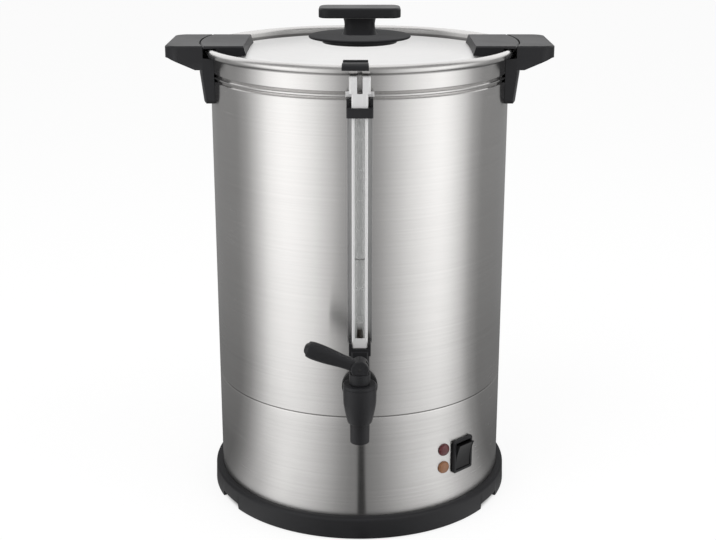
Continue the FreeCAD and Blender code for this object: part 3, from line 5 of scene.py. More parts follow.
import bpy
import numpy as np
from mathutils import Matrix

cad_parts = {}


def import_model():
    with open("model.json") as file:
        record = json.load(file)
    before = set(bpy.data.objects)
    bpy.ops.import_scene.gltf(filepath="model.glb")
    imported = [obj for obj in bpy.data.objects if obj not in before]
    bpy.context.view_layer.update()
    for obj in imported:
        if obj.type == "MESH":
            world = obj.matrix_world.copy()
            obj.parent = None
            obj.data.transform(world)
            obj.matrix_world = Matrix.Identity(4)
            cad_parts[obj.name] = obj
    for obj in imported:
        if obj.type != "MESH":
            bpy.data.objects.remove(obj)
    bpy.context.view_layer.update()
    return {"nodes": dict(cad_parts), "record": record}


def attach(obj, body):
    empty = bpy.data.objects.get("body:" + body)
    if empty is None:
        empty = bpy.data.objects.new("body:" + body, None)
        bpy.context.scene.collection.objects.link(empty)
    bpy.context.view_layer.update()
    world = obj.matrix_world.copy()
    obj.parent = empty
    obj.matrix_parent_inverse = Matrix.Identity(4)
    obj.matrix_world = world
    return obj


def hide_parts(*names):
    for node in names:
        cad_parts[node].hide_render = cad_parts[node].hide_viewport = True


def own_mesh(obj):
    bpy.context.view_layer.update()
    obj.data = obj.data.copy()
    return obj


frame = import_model()

# Coffee urn. Sizes are in millimetres and a mesh gets its metres when it is made. The urn's axis is the Z axis, the
# floor is z = 0, and its front, with the tap, faces -Y.
MM = 0.001

# Body
BODY_R = 135.0
SHEET = 0.8
TANK_IN = BODY_R - SHEET
SEAM_Z = 117.0
SEAM_GAP = 0.8
JOGGLE_H = 4.5
LIP = 1.3
FLOOR_Z = 124.0
FLOOR_ROUND = 5.0
WELL_R = 33.0
WELL_Z = 118.0
WELL_SLOPE = 3.0
RIM_Z = 422.0
RIM_R = 138.0
RIM_ROLL_R = 3.8
RIM_END = -120.0
BEADS = (398.5, 402.8)
BEAD_DEPTH = 1.7
BEAD_WIDTH = 0.95
BEAD_BAND = (394.0, 408.0)      # heights between which the wall is finely divided

# Base
BASE_R = 142.0
BASE_H = 21.0
BASE_DRAFT = 0.6
BASE_ROUND = 3.2
BASE_WALL = 3.0
BASE_INNER = 118.0
LEDGE_Z = 13.0
FOOT_PROUD = 1.2
NOTCH_ANGLES = (60.0, 120.0, 240.0, 300.0)
NOTCH_SPAN = 13.0
NOTCH_H = 6.8
RIB_COUNT = 16
RIB_T = 2.4
RIB_IN = 8.5
BOSS_COUNT = 6
BOSS_R, BOSS_H = 4.2, 6.0
FOOT_R = 6.0
FOOT_TOP = 10.0
FOOT_PITCH = 132.9
FOOT_ANGLES = (45.0, 135.0, 225.0, 315.0)

# Lid
LID_R = 132.6
LID_EDGE_Z = 417.0
LID_FOOT_Z = 406.2
LID_CORNER = 2.0
DOME_TOP = 427.3
DOME_R = (LID_R ** 2 + (DOME_TOP - LID_EDGE_Z) ** 2) / (2 * (DOME_TOP - LID_EDGE_Z))
EMBOSS_HALF = 12.0
EMBOSS_NEAR = 112.1
EMBOSS_H = 0.7
EMBOSS_SLOPE = 2.4
FRONT_TURN = -1.5
GASKET_Z = 404.7
GASKET_UP = 4.8
GASKET_LEG = 1.2

# Lid tab
TAB_W = 21.4
TAB_T = 1.6
TAB_BACK = 126.0
TAB_RIB_H = 1.5
TAB_RIB_T = 2.6

# Knob
SEAT_R = 33.75
SEAT_TOP = 431.0
SHIELD_R = 46.5
SHIELD_TOP = 434.0
STEM_L, STEM_W, STEM_ROUND = 28.6, 22.0, 8.0
STEM_FLARE = (15.0, -16.0, 3.0)
BAR_Z = 449.4
BAR_L, BAR_W, BAR_T, BAR_ROUND = 73.5, 34.0, 9.6, 9.0
BAR_EASE_LOW, BAR_EASE_HIGH = 1.2, 2.6
BAR_CROWN = 0.55

# Tap
TAP_Y = -180.0
TAP_AXIS = np.array((0.0, TAP_Y, 0.0))
SHANK_Z = 147.5
SHANK_R = 8.0
SHANK_BORE_R = 4.6
SHANK_END = -118.0
FLANGE_R = 11.0
FLANGE_END = -157.1
TAP_R = 14.0
BODY_TOP_Z = 164.3
BELLY_Z = 155.0
NECK_Z = 133.3
NECK_R = 10.4
SPOUT_Z = 114.4
SPOUT_R = 8.1
SPOUT_BORE_R = 6.0
CHAMBER_R = 7.8
THREAD_R = 10.7
VALVE_Z = 136.0
BONNET_TOP = 167.2
BONNET_EASE = 1.0
BONNET_SPIGOT = 6.5
HUB_R = 8.8
HUB_SPIGOT_R = 6.0
HUB_LOW = 167.5
HUB_TOP = 176.7
HUB_EASE = 0.8
HUB_SINK = 3.0
STEM_R = 3.0
PIN_Z = 181.5
LEVER_ROOT_R = 7.4
LEVER_HALF = 7.3
LEVER_RISE = 21.0
LEVER_STATIONS = ((0.0, 11.4, 9.8), (14.0, 10.8, 10.2), (30.0, 12.6, 13.2), (41.0, 13.4, 13.6), (46.0, 12.6, 11.8),
                  (49.0, 10.6, 8.4))
LEVER_TIP = 2.6
LEVER_HOLE_R = 1.55
BLADE_T = 4.0
WASHER_R, WASHER_T = 15.5, 4.0
HOLDER_BACK = -139.0
SPRING_R = 6.6
SPRING_WIRE_R = 0.6
SPRING_TURNS = 4
SPRING_LOW, SPRING_HIGH = 142.8, 157.2

# Gauge
GAUGE_Y = -148.0
TUBE_R = 4.5
TUBE_BORE_R = 3.2
TUBE_LOW, TUBE_HIGH = 159.6, 392.3
SEAL_R = 5.6
HOLDER_TOP = 186.0
CLIP_Z = 385.7
MARKS = ((215.9, 0.2), (241.2, 0.25), (266.5, 0.8), (291.8, 0.2), (317.1, 0.2), (342.4, 0.2), (367.7, 0.2))

# Switch and lamps
SWITCH_TURN = 43.6
SWITCH_Z = 64.8
SWITCH_BODY_W, SWITCH_BODY_H = 22.6, 28.8
ROCKER_HALF_W, ROCKER_HALF_H = 9.3, 12.2
ROCKER_DEEP = 5.0
ROCKER_TILT = 10.0
ROCKER_FACE, ROCKER_DISH, ROCKER_FOOT = 2.6, 1.4, 8.0
ROCKER_PIN_R, ROCKER_PIN_PROUD = 1.5, 1.4
LAMP_TURN = 34.2
LAMP_HEIGHTS = (("lamp_red", 75.0), ("lamp_amber", 57.7))
LAMP_R = 5.75
LAMP_BODY_R = 4.6
LAMP_PROUD = 3.2
LAMP_DEPTH = 17.0
GLAND_Z = 42.0
GLAND_HALF = 7.4
GLAND_BORE_R = 4.0
GLAND_R = 8.0
GLAND_FLANGE_R, GLAND_FLANGE_T = 11.0, 2.2
GLAND_REACH = 6.0

# Percolator
PUMP_R = 6.0
PUMP_WALL = 0.8
PUMP_TOP = 402.0
BELL_R = 30.5
BELL_H = 12.0
BASKET_R = 86.0
BASKET_Z = 288.0
BASKET_H = 88.0
BASKET_ROUND = 3.0
FLARE_ROUND = 6.0
SLEEVE_R = 6.5
CONE_H = 4.2
HOLE_COLUMNS, HOLE_PITCH = 180, 6

# How finely the surfaces are divided
ROUND = 224      # steps round the body
TURNED = 96      # steps round middling turned pieces
SMALL = 56       # steps round small ones


# --- Surfaces ---

def coords(*values):
    """Points from the values of each coordinate, where a single value serves them all."""
    return np.stack(np.broadcast_arrays(*values), -1)


def unit(vector):
    """Vector of length 1 in the same direction."""
    vector = np.asarray(vector, float)
    return vector / np.linalg.norm(vector)


def fillet(corners, steps=6, closed=True):
    """Outline whose corners are rounded: each (x, y, radius) becomes an arc tangent to both its sides, with a support
    point a little before and after it so that the flats beside it stay flat in the light."""
    count = len(corners)
    spots = np.array([corner[:2] for corner in corners], float)
    radii = np.array([corner[2] if len(corner) > 2 else 0.0 for corner in corners], float)
    if not closed:
        radii[0] = radii[-1] = 0.0
    ahead = np.roll(spots, -1, 0) - spots
    length = np.maximum(np.linalg.norm(ahead, axis=1), 1e-9)
    ahead = ahead / length[:, None]
    back = -np.roll(ahead, 1, 0)
    half = np.arccos(np.clip((ahead * back).sum(1), -1.0, 1.0)) / 2
    reach = np.where(radii > 0, radii / np.tan(np.maximum(half, 1e-3)), 0.0)
    room = length - reach - np.roll(reach, -1)
    if room.min() < -1e-6:
        raise ValueError(f"corners too round for their sides: {corners[int(room.argmin())]}")
    points = []
    for i in range(count):
        if radii[i] == 0:
            points.append(spots[i][None])
            continue
        centre = spots[i] + unit(ahead[i] + back[i]) * radii[i] / math.sin(half[i])
        start, end = spots[i] + back[i] * reach[i], spots[i] + ahead[i] * reach[i]
        first = math.atan2(*(start - centre)[::-1])
        sweep = (math.atan2(*(end - centre)[::-1]) - first + math.pi) % (2 * math.pi) - math.pi
        turn = first + sweep * np.linspace(0.0, 1.0, steps + 1)
        support = radii[i] * 0.3
        if room[i - 1] > 3 * support:
            points.append((start + back[i] * support)[None])
        points.append(centre + radii[i] * coords(np.cos(turn), np.sin(turn)))
        if room[i] > 3 * support:
            points.append((end + ahead[i] * support)[None])
    return np.concatenate(points)


def traced(corners, steps=6):
    """Open outline with rounded corners, from its first corner to its last."""
    return fillet(corners, steps, closed=False)


def rod(radius, low, high, round_low=0.0, round_high=0.0, steps=4):
    """Outline of a solid turned rod between two heights, from its axis out and back."""
    return traced(((0.0, low), (radius, low, round_low), (radius, high, round_high), (0.0, high)), steps)


def sleeve(bore, radius, low, high, rounds=(0.0, 0.0, 0.0, 0.0)):
    """Outline of a bored turned piece between two heights, its corners rounded from the lower inner one onwards."""
    corners = ((bore, low), (radius, low), (radius, high), (bore, high))
    return fillet([(*corner, size) for corner, size in zip(corners, rounds)], 4)


def smooth_line(stations, count):
    """Even samples of a smooth curve through stations: a cubic between neighbours, sloped by the ones beside."""
    stations = np.asarray(stations, float)
    padded = np.concatenate((2 * stations[:1] - stations[1:2], stations, 2 * stations[-1:] - stations[-2:-1]))
    at = np.linspace(0.0, len(stations) - 1 - 1e-9, count)
    here = at.astype(int)
    t = (at - here)[:, None]
    a, b, c, d = (padded[here + k] for k in range(4))
    return 0.5 * (2 * b + (c - a) * t + (2 * a - 5 * b + 4 * c - d) * t ** 2 + (3 * b - 3 * c + d - a) * t ** 3)


def arc_points(centre, radius, start, end, steps):
    """Points on a circle between two angles in degrees."""
    turn = np.radians(np.linspace(start, end, steps + 1))
    return coords(centre[0] + radius * np.cos(turn), centre[1] + radius * np.sin(turn))


def spun(outline, columns=TURNED):
    """Grid of a turned surface: every (radius, height) point of the outline carried round the Z axis."""
    turn = np.linspace(0.0, 2 * math.pi, columns, endpoint=False) if np.isscalar(columns) else np.radians(columns)
    radius, height = np.asarray(outline, float).T
    return coords(np.outer(radius, np.cos(turn)), np.outer(radius, np.sin(turn)), height[:, None])


def shell(grid, ring=False):
    """Points and faces of a grid that closes round its rows. A ring's last row joins its first; else both ends close
    with a face."""
    rows, columns = grid.shape[:2]
    i, j = np.meshgrid(np.arange(rows if ring else rows - 1), np.arange(columns), indexing="ij")
    below, above, beside = i * columns, (i + 1) % rows * columns, (j + 1) % columns
    faces = np.stack((below + j, below + beside, above + beside, above + j), -1).reshape(-1, 4).tolist()
    if not ring:
        for row, ends in ((0, range(columns - 1, -1, -1)), (rows - 1, range(columns))):
            if np.ptp(grid[row], axis=0).max() > 1e-6:
                faces.append([row * columns + k for k in ends])
    return grid.reshape(-1, 3), faces


def drawn_in(outline, inset):
    """Outline moved inwards by a distance: every point slides along its corner's mitre."""
    side = outline - np.roll(outline, 1, 0)
    before = coords(side[:, 1], -side[:, 0]) / np.linalg.norm(side, axis=1)[:, None]
    after = np.roll(before, -1, 0)
    return outline - inset * (before + after) / (1 + (before * after).sum(1))[:, None]


def stacked(outlines, heights):
    """Grid of closed outlines, one above another."""
    return np.stack([coords(*outline.T, height) for outline, height in zip(outlines, heights)])


def slab(outline, low, high, ease_low, ease_high, steps=5):
    """Grid of a plate: an outline stacked from one height to another and drawn in by a quarter circle at each end."""
    turn = np.linspace(0.0, math.pi / 2, steps + 1)
    stations = [(low, ease_low * 1.4)] if ease_low else []
    stations += [(low + ease_low * (1 - math.sin(a)), ease_low * (1 - math.cos(a))) for a in turn[::-1]]
    stations += [(high - ease_high * (1 - math.sin(a)), ease_high * (1 - math.cos(a))) for a in turn]
    stations += [(high, ease_high * 1.4)] if ease_high else []
    heights, insets = zip(*stations)
    return stacked([drawn_in(outline, inset) for inset in insets], heights)


def oblong(length, width, radius, steps=8):
    """Outline of a rectangle with round corners, centred."""
    x, y = length / 2, width / 2
    return fillet(((x, -y, radius), (x, y, radius), (-x, y, radius), (-x, -y, radius)), steps)


def placed(grid, origin=(0.0, 0.0, 0.0), along=(0.0, 0.0, 1.0), across=(1.0, 0.0, 0.0)):
    """Grid moved so that its Z axis runs along a direction from an origin and its X axis leans across it."""
    third = unit(along)
    first = unit(np.asarray(across, float) - np.dot(across, third) * third)
    return grid @ np.stack((first, np.cross(third, first), third)) + np.asarray(origin, float)


def turned(line, columns=TURNED, ring=True, **place):
    """Shell of an outline carried round an axis, moved to its place."""
    return shell(placed(spun(line, columns), **place), ring)


def outward(degrees):
    """Direction straight out from the body at an angle to the right of the front."""
    turn = math.radians(degrees)
    return np.array((math.sin(turn), -math.cos(turn), 0.0))


def sideways(degrees):
    """Direction to the right along the body's wall at an angle to the right of the front."""
    return outward(degrees + 90.0)


def linked(name, data):
    """New object of a mesh, camera or lamp, put in the scene."""
    obj = bpy.data.objects.new(name, data)
    bpy.context.collection.objects.link(obj)
    return obj


def modify(obj, name, kind, **settings):
    """Adds a modifier with its settings."""
    modifier = obj.modifiers.new(name, kind)
    for key, value in settings.items():
        setattr(modifier, key, value)


def smoothed(obj, crease):
    """Object shaded smooth but for creases sharper than an angle."""
    obj.data.shade_smooth()
    obj.data.set_sharp_from_angle(angle=math.radians(crease))
    return obj


def mesh_of(name, shells, crease=32.0):
    """Object of one or more shells, with repeated points joined, smooth but for creases sharper than an angle."""
    points, faces, first = [], [], 0
    for spots, sides in shells:
        points.append(spots)
        faces += [[corner + first for corner in face] for face in sides]
        first += len(spots)
    mesh = bpy.data.meshes.new(name)
    mesh.from_pydata((np.concatenate(points) * MM).tolist(), [], faces)
    obj = linked(name, mesh)
    modify(obj, "join", "WELD", merge_threshold=2e-6)
    settle(obj)
    return smoothed(obj, crease)


def settle(obj):
    """Applies the modifiers that an object has so far."""
    graph = bpy.context.evaluated_depsgraph_get()
    made = bpy.data.meshes.new_from_object(obj.evaluated_get(graph), depsgraph=graph)
    made.name = obj.name
    obj.modifiers.clear()
    obj.data = made


def worked(obj, how, *tools, crease=32.0):
    """Cuts solid tools out of an object or joins them to it; the tools are used up."""
    for tool in tools:
        modify(obj, how.lower(), "BOOLEAN", operation=how, solver="EXACT", object=tool)
    settle(obj)
    for tool in tools:
        bpy.data.objects.remove(tool)
    smoothed(obj, crease)


def box_tool(low, high):
    """Plain block between two corners, for cutting."""
    outline = np.array(((low[0], low[1]), (high[0], low[1]), (high[0], high[1]), (low[0], high[1])))
    return mesh_of("tool", [shell(stacked((outline, outline), (low[2], high[2])))])


SLOTS = {row["node"]: row["material_slot"] for row in frame["record"]["subparts"]}
BODIES = {node: body for body, nodes in frame["record"]["behaviour"]["bodies"].items() for node in nodes}
FINISHES = {}       # what Finish makes, by name


def piece(name, shells, *nodes, obj=None, crease=32.0, finish=None, body=None):
    """New piece that stands for the CAD nodes, rides on their body or the one named, and takes their finish."""
    obj = obj or mesh_of(name, shells, crease)
    obj.name = name
    obj.data.materials.clear()
    obj.data.materials.append(FINISHES[finish or SLOTS[nodes[0]]])
    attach(obj, body or BODIES[nodes[0]])
    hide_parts(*nodes)
    return obj


# --- Finishes ---

class Signal:
    """Value or colour inside a finish, on which Python arithmetic adds Math nodes."""

    def __init__(self, finish, socket):
        self.finish = finish
        self.socket = socket

    def maths(self, operation, *others, swapped=False):
        """Adds a Math node of this value and others, or of the others and then this value."""
        values = (*others, self) if swapped else (self, *others)
        return self.finish.node("ShaderNodeMath", {"operation": operation}, dict(enumerate(values)))

    def step(self, low, high):
        """0 below one value, 1 above another and a soft slope between them."""
        settings = {"interpolation_type": "SMOOTHSTEP"}
        return self.finish.node("ShaderNodeMapRange", settings, {"Value": self, "From Min": low, "From Max": high})

    __add__ = __radd__ = partialmethod(maths, "ADD")
    __sub__ = partialmethod(maths, "SUBTRACT")
    __rsub__ = partialmethod(maths, "SUBTRACT", swapped=True)
    __mul__ = __rmul__ = partialmethod(maths, "MULTIPLY")
    __truediv__ = partialmethod(maths, "DIVIDE")
    __pow__ = partialmethod(maths, "POWER")
    __abs__ = partialmethod(maths, "ABSOLUTE")
    at_most = partialmethod(maths, "MINIMUM")


class Finish:
    """Material or world in the making: its shader and the nodes that feed it."""

    def __init__(self, name, shader="ShaderNodeBsdfPrincipled", world=False, **constants):
        self.material = (bpy.data.worlds if world else bpy.data.materials).new(name)
        self.material.use_nodes = True
        FINISHES[name] = self.material
        self.tree = self.material.node_tree
        self.tree.nodes.clear()
        self.output = self.tree.nodes.new("ShaderNodeOutputWorld" if world else "ShaderNodeOutputMaterial")
        self.shader = self.tree.nodes.new(shader)
        self.tree.links.new(self.shader.outputs[0], self.output.inputs["Surface"])
        self.set(**{key.replace("_", " ").title().replace("Ior", "IOR"): value for key, value in constants.items()})

    def set(self, **inputs):
        """Gives the shader's sockets their values or links."""
        self.fill(self.shader, inputs)
        return self

    def fill(self, node, inputs):
        """Gives a node's sockets their values, or links where a value is a signal."""
        for key, value in inputs.items():
            socket = node.inputs[key]
            if isinstance(value, Signal):
                self.tree.links.new(value.socket, socket)
            else:
                socket.default_value = value

    def node(self, kind, settings=None, inputs=None, output=0):
        """Adds a node: its settings come first, then the values or links of its sockets."""
        node = self.tree.nodes.new(kind)
        for key, value in (settings or {}).items():
            if key == "stops":
                while len(node.color_ramp.elements) < len(value):
                    node.color_ramp.elements.new(0.5)
                for element, (place, level) in zip(node.color_ramp.elements, value):
                    element.position = place
                    element.color = (level, level, level, 1.0)
            else:
                setattr(node, key, value)
        self.fill(node, inputs or {})
        return Signal(self, node.outputs[output])

    def spot(self, scale=(1.0, 1.0, 1.0)):
        """Place on the piece in metres, stretched."""
        coordinates = self.node("ShaderNodeTexCoord", output="Object")
        return self.node("ShaderNodeVectorMath", {"operation": "MULTIPLY"}, {0: coordinates, 1: scale})

    def axis(self, name):
        """One coordinate of the place on the piece, in metres."""
        return self.node("ShaderNodeSeparateXYZ", None, {0: self.spot()}, output=name)

    def from_axis(self):
        """Distance from the urn's axis, in metres."""
        flat = self.spot((1.0, 1.0, 0.0))
        return self.node("ShaderNodeVectorMath", {"operation": "LENGTH"}, {0: flat}, output="Value")

    def noise(self, scale, detail=2.0, stretch=(1.0, 1.0, 1.0), place=None):
        """Cloudy random value from 0 to 1 at a place, or at the place on the piece, stretched."""
        inputs = {"Vector": place or self.spot(stretch), "Scale": scale, "Detail": detail}
        return self.node("ShaderNodeTexNoise", None, inputs)

    def blend(self, low, high, factor, clamped=True):
        """Colour between two colours, or beyond them."""
        inputs = {"Factor": factor, 6: (*low, 1.0), 7: (*high, 1.0)}
        return self.node("ShaderNodeMix", {"data_type": "RGBA", "clamp_factor": clamped}, inputs, output=2)

    def relief(self, height, depth):
        """Normal of a surface raised by a height from 0 to 1 over a depth in metres."""
        return self.node("ShaderNodeBump", None, {"Height": height, "Distance": depth, "Strength": 1.0})


def shaded(colour, factor, lift=0.0):
    """Colour made darker or paler, up to nearly white."""
    return tuple(min(channel * factor + lift, 0.95) for channel in colour)


def steel(name, colour, roughness, lines, grain=1.0, anisotropic=0.0, rotation=0.0, smear=0.06, depth=1.2e-5,
          crease_shade=(), edge=0.0, metallic=1.0):
    """Stainless steel: grain stretched by three factors or laid out by a function, a cloudy wiped film, scratches in
    its gloss, painted shade along creases given by their height, reach and strength, and a band of painted shade
    inside an edge's radius."""
    made = Finish(name, metallic=metallic, anisotropic=anisotropic, anisotropic_rotation=rotation)
    strokes = made.noise(grain, 3.0, lines) if isinstance(lines, tuple) else lines(made, grain)
    film = made.noise(14.0, 4.0).step(0.35, 0.75)
    scratch = made.noise(1.0, 1.0, (30.0, 30.0, 3600.0)).step(0.68, 0.76)
    dark, bright = shaded(colour, 0.88), shaded(colour, 1.06)
    grain_and_shade = strokes * 0.7 + film * 0.3
    # Painted shade: the colour darkens round each crease's height, where shade falls.
    for level, reach, strength in crease_shade:
        grain_and_shade = grain_and_shade - (1.0 - abs(made.axis("Z") - level * MM).step(0.4 * reach * MM, reach * MM)) * strength
    # Painted shade: the colour darkens in a band 10 mm wide inside the edge's radius.
    if edge:
        grain_and_shade = grain_and_shade - made.from_axis().step((edge - 10.0) * MM, edge * MM) * 2.2
    made.set(**{
        "Base Color": made.blend(dark, bright, grain_and_shade, clamped=not (crease_shade or edge)),
        "Roughness": roughness + (strokes - 0.5) * smear + film * 0.03 + scratch * 0.04,
        "Normal": made.relief(strokes, depth)})


def hoops(finish, grain):
    """Grain that runs in circles round the urn's axis."""
    out = finish.from_axis()
    place = finish.node("ShaderNodeCombineXYZ", None, {"X": out, "Y": finish.axis("Z")})
    return finish.noise(grain, 2.0, place=place)


def moulded(name, colour, roughness, texture, depth, coat=0.0, gloss=0.24):
    """Moulded plastic or rubber: pebbled skin, slightly cloudy sheen and edges rubbed paler."""
    made = Finish(name, coat_weight=coat, coat_roughness=0.15, specular_ior_level=gloss)
    skin = made.noise(texture, 2.0)
    cloud = made.noise(22.0, 3.0).step(0.3, 0.8)
    edges = made.node("ShaderNodeNewGeometry", output="Pointiness").step(0.53, 0.62)
    low, high = shaded(colour, 0.85), shaded(colour, 1.2, 0.002)
    made.set(**{
        "Base Color": made.blend(low, high, cloud * 0.5 + skin * 0.3 + edges * 0.6),
        "Roughness": roughness + cloud * 0.08 + skin * 0.06 - edges * 0.08,
        "Normal": made.relief(skin, depth)})


def lens(name, colour):
    """Coloured lamp cover: clear gloss over moulded rings."""
    made = Finish(name, transmission_weight=0.35, ior=1.49, coat_weight=0.2, coat_roughness=0.05)
    mottle = made.noise(400.0, 2.0)
    made.set(**{
        "Base Color": made.blend(shaded(colour, 0.6), colour, mottle),
        "Roughness": 0.16 + mottle * 0.1,
        "Normal": made.relief(made.noise(900.0, 1.0), 2e-5)})


def gauge_glass():
    """Clear glass tube: see-through, less so at its sides, where its pale colour is a painted reflection, with level
    lines printed on its front half, a thin film inside, painted shade at its foot and a faint painted glow where it
    isn't dark."""
    made = Finish("gauge_glass", ior=1.47)
    height = made.axis("Z")
    front = made.axis("Y").step((GAUGE_Y - 1.0) * MM, (GAUGE_Y - 2.0) * MM)
    across = abs(made.axis("X"))
    lines = 0.0
    for level, strength in MARKS:
        lines = (1.0 - abs(height - level * MM).step(0.35 * MM, 0.7 * MM)) * strength + lines
    # Painted shade at the tube's foot: a dark patch across the middle of the tube below 216 mm.
    painted_foot_shade = (1.0 - height.step(198.0 * MM, 216.0 * MM)) * (1.0 - across.step(1.8 * MM, 3.3 * MM))
    dark = (lines * front + painted_foot_shade * 1.4).at_most(1.0)
    # The tube grows opaque towards its sides, where its pale colour paints the reflections along its edges.
    side = (across / (TUBE_R * MM)) ** 2.0
    # Painted glow: the glass emits a faint white light wherever it isn't dark.
    painted_glow = 1.0 - dark
    film = made.noise(90.0, 3.0).step(0.45, 0.8)
    made.set(**{
        "Base Color": made.blend((0.92, 0.93, 0.92), (0.03, 0.025, 0.02), dark),
        "Alpha": (side * side * 0.9 + film * 0.05 + 0.09 + dark * 0.8).at_most(1.0),
        # Painted glow of the glass.
        "Emission Color": made.blend((0.0, 0.0, 0.0), (1.0, 1.0, 1.0), painted_glow),
        "Emission Strength": 0.08,
        "Roughness": film * 0.08 + 0.03})


def make_finishes():
    """Every finish by its name: the slots' finishes first, then three that single pieces take instead."""
    # Painted shade on the brushed steel, at the seam and under the curl of the rim.
    steel("brushed_steel", (0.62, 0.61, 0.60), 0.21, (5.0, 5.0, 900.0), anisotropic=1.0, rotation=0.25,
          crease_shade=((SEAM_Z, 0.7, 2.2), (RIM_Z - RIM_ROLL_R, 1.9, 3.0)))
    # Painted shade on the lid: a darker band inside its edge, where the groove to the rim falls in shade.
    steel("polished_steel", (0.68, 0.675, 0.67), 0.36, hoops, 700.0, smear=0.04, depth=4e-6, edge=LID_R)
    # Painted highlight: this steel is a pale, mostly matt colour, which gives it the brightness that polished steel
    # gets from its reflections.
    steel("bright_steel", (0.96, 0.955, 0.95), 0.42, (700.0, 700.0, 12.0), smear=0.04, depth=3e-6, metallic=0.2)
    steel("plain_steel", (0.55, 0.55, 0.54), 0.36, (300.0, 300.0, 300.0))
    steel("screw_steel", (0.58, 0.57, 0.55), 0.32, (900.0, 900.0, 200.0))
    steel("spring_steel", (0.50, 0.50, 0.50), 0.28, (600.0, 600.0, 600.0))
    steel("percolator_steel", (0.60, 0.595, 0.585), 0.26, (6.0, 6.0, 600.0), anisotropic=0.4, rotation=0.25)
    steel("heater_aluminium", (0.66, 0.67, 0.68), 0.45, (120.0, 120.0, 120.0))
    moulded("black_plastic", (0.019, 0.019, 0.021), 0.38, 1500.0, 3.5e-5)
    moulded("gloss_black", (0.012, 0.012, 0.013), 0.28, 400.0, 6e-6, coat=0.06)
    moulded("ivory_plastic", (0.75, 0.72, 0.63), 0.40, 1200.0, 3e-5)
    moulded("rubber", (0.028, 0.028, 0.028), 0.62, 1100.0, 5e-5)
    moulded("silicone", (0.42, 0.40, 0.38), 0.48, 900.0, 3e-5)
    lens("red_lens", (0.19, 0.02, 0.025))
    lens("amber_lens", (0.56, 0.25, 0.11))
    gauge_glass()
    moulded("dull_black", (0.019, 0.019, 0.021), 0.5, 1500.0, 3.5e-5, gloss=0.05)
    # Painted shade: a darker steel for the gauge's back channel, standing in for the shade in the gaps beside the
    # guard.
    steel("shaded_channel_steel", (0.52, 0.52, 0.52), 0.32, (5.0, 5.0, 700.0))
    steel("blackened_pin", (0.07, 0.07, 0.07), 0.45, (300.0, 300.0, 300.0))


# --- Body ---

def beads(height):
    """Depth of the two pressed beads at a height: a rounded trough round each bead's centre."""
    return sum(BEAD_DEPTH * np.exp(-((height - bead) / BEAD_WIDTH) ** 2) for bead in BEADS)


def wall_points(radius, low, high):
    """Points up a wall between two heights, close together where the beads are."""
    start, end = BEAD_BAND
    fine = np.arange(start + 0.4, end - 1.0, 0.3)
    z = np.concatenate((np.linspace(low, start, 12), fine, np.linspace(end, high, 4)))
    return coords(radius - beads(z), z)


def tank():
    """Turned shell: up the beaded wall, round the curl of the rim and back, down inside to the welled floor."""
    low = SEAM_Z + SEAM_GAP / 2
    roll = (RIM_R, RIM_Z)
    outside = wall_points(BODY_R, low + 0.4, RIM_Z)
    curl_in = arc_points(roll, RIM_ROLL_R - SHEET, 180, RIM_END, 30)
    curl_out = arc_points(roll, RIM_ROLL_R, RIM_END, 180, 34)
    inside = wall_points(TANK_IN, FLOOR_Z + FLOOR_ROUND + 1.0, RIM_Z)[::-1]
    floor = traced(((TANK_IN, FLOOR_Z + 40.0), (TANK_IN, FLOOR_Z, FLOOR_ROUND), (WELL_R + WELL_SLOPE, FLOOR_Z, 2.0),
                    (WELL_R, WELL_Z, 2.0), (0.0, WELL_Z)), 6)[1:]
    under = traced(((0.0, WELL_Z - SHEET), (WELL_R + SHEET / 2, WELL_Z - SHEET, 2.5),
                    (WELL_R + WELL_SLOPE + SHEET / 2, FLOOR_Z - SHEET, 1.5), (TANK_IN, FLOOR_Z - SHEET)), 5)
    foot = np.array(((TANK_IN, low), (BODY_R - 0.3, low), (BODY_R, low + 0.3)))
    line = np.concatenate((foot, outside, curl_in[1:], curl_out, inside[1:], floor, under))
    piece("tank_shell", [turned(line, ROUND)], "tank")


def opened(columns, outer, inner, gaps):
    """Turned wall with windows: a grid of two walls a sheet apart, less the faces inside each window, which is a span
    of columns and a span of levels. Round its edge the walls are joined."""
    grid = spun(np.concatenate((outer, inner[::-1])), columns)
    points, faces = shell(grid, ring=True)
    rows, across = grid.shape[:2]
    dropped, sides = set(), []
    for (left, right), (low, high) in gaps:
        for level in range(low, high):
            for column in range(left, right):
                dropped.update((level * across + column, (rows - 2 - level) * across + column))
        edge = [(low, column) for column in range(left, right)]
        edge += [(level, right) for level in range(low, high)]
        edge += [(high, column) for column in range(right, left, -1)]
        edge += [(level, left) for level in range(high, low, -1)]
        outside = [level * across + column for level, column in edge]
        inside = [(rows - 1 - level) * across + column for level, column in edge]
        sides += zip(outside, outside[1:] + outside[:1], inside[1:] + inside[:1], inside)
    return points, [side for index, side in enumerate(faces) if index not in dropped] + sides


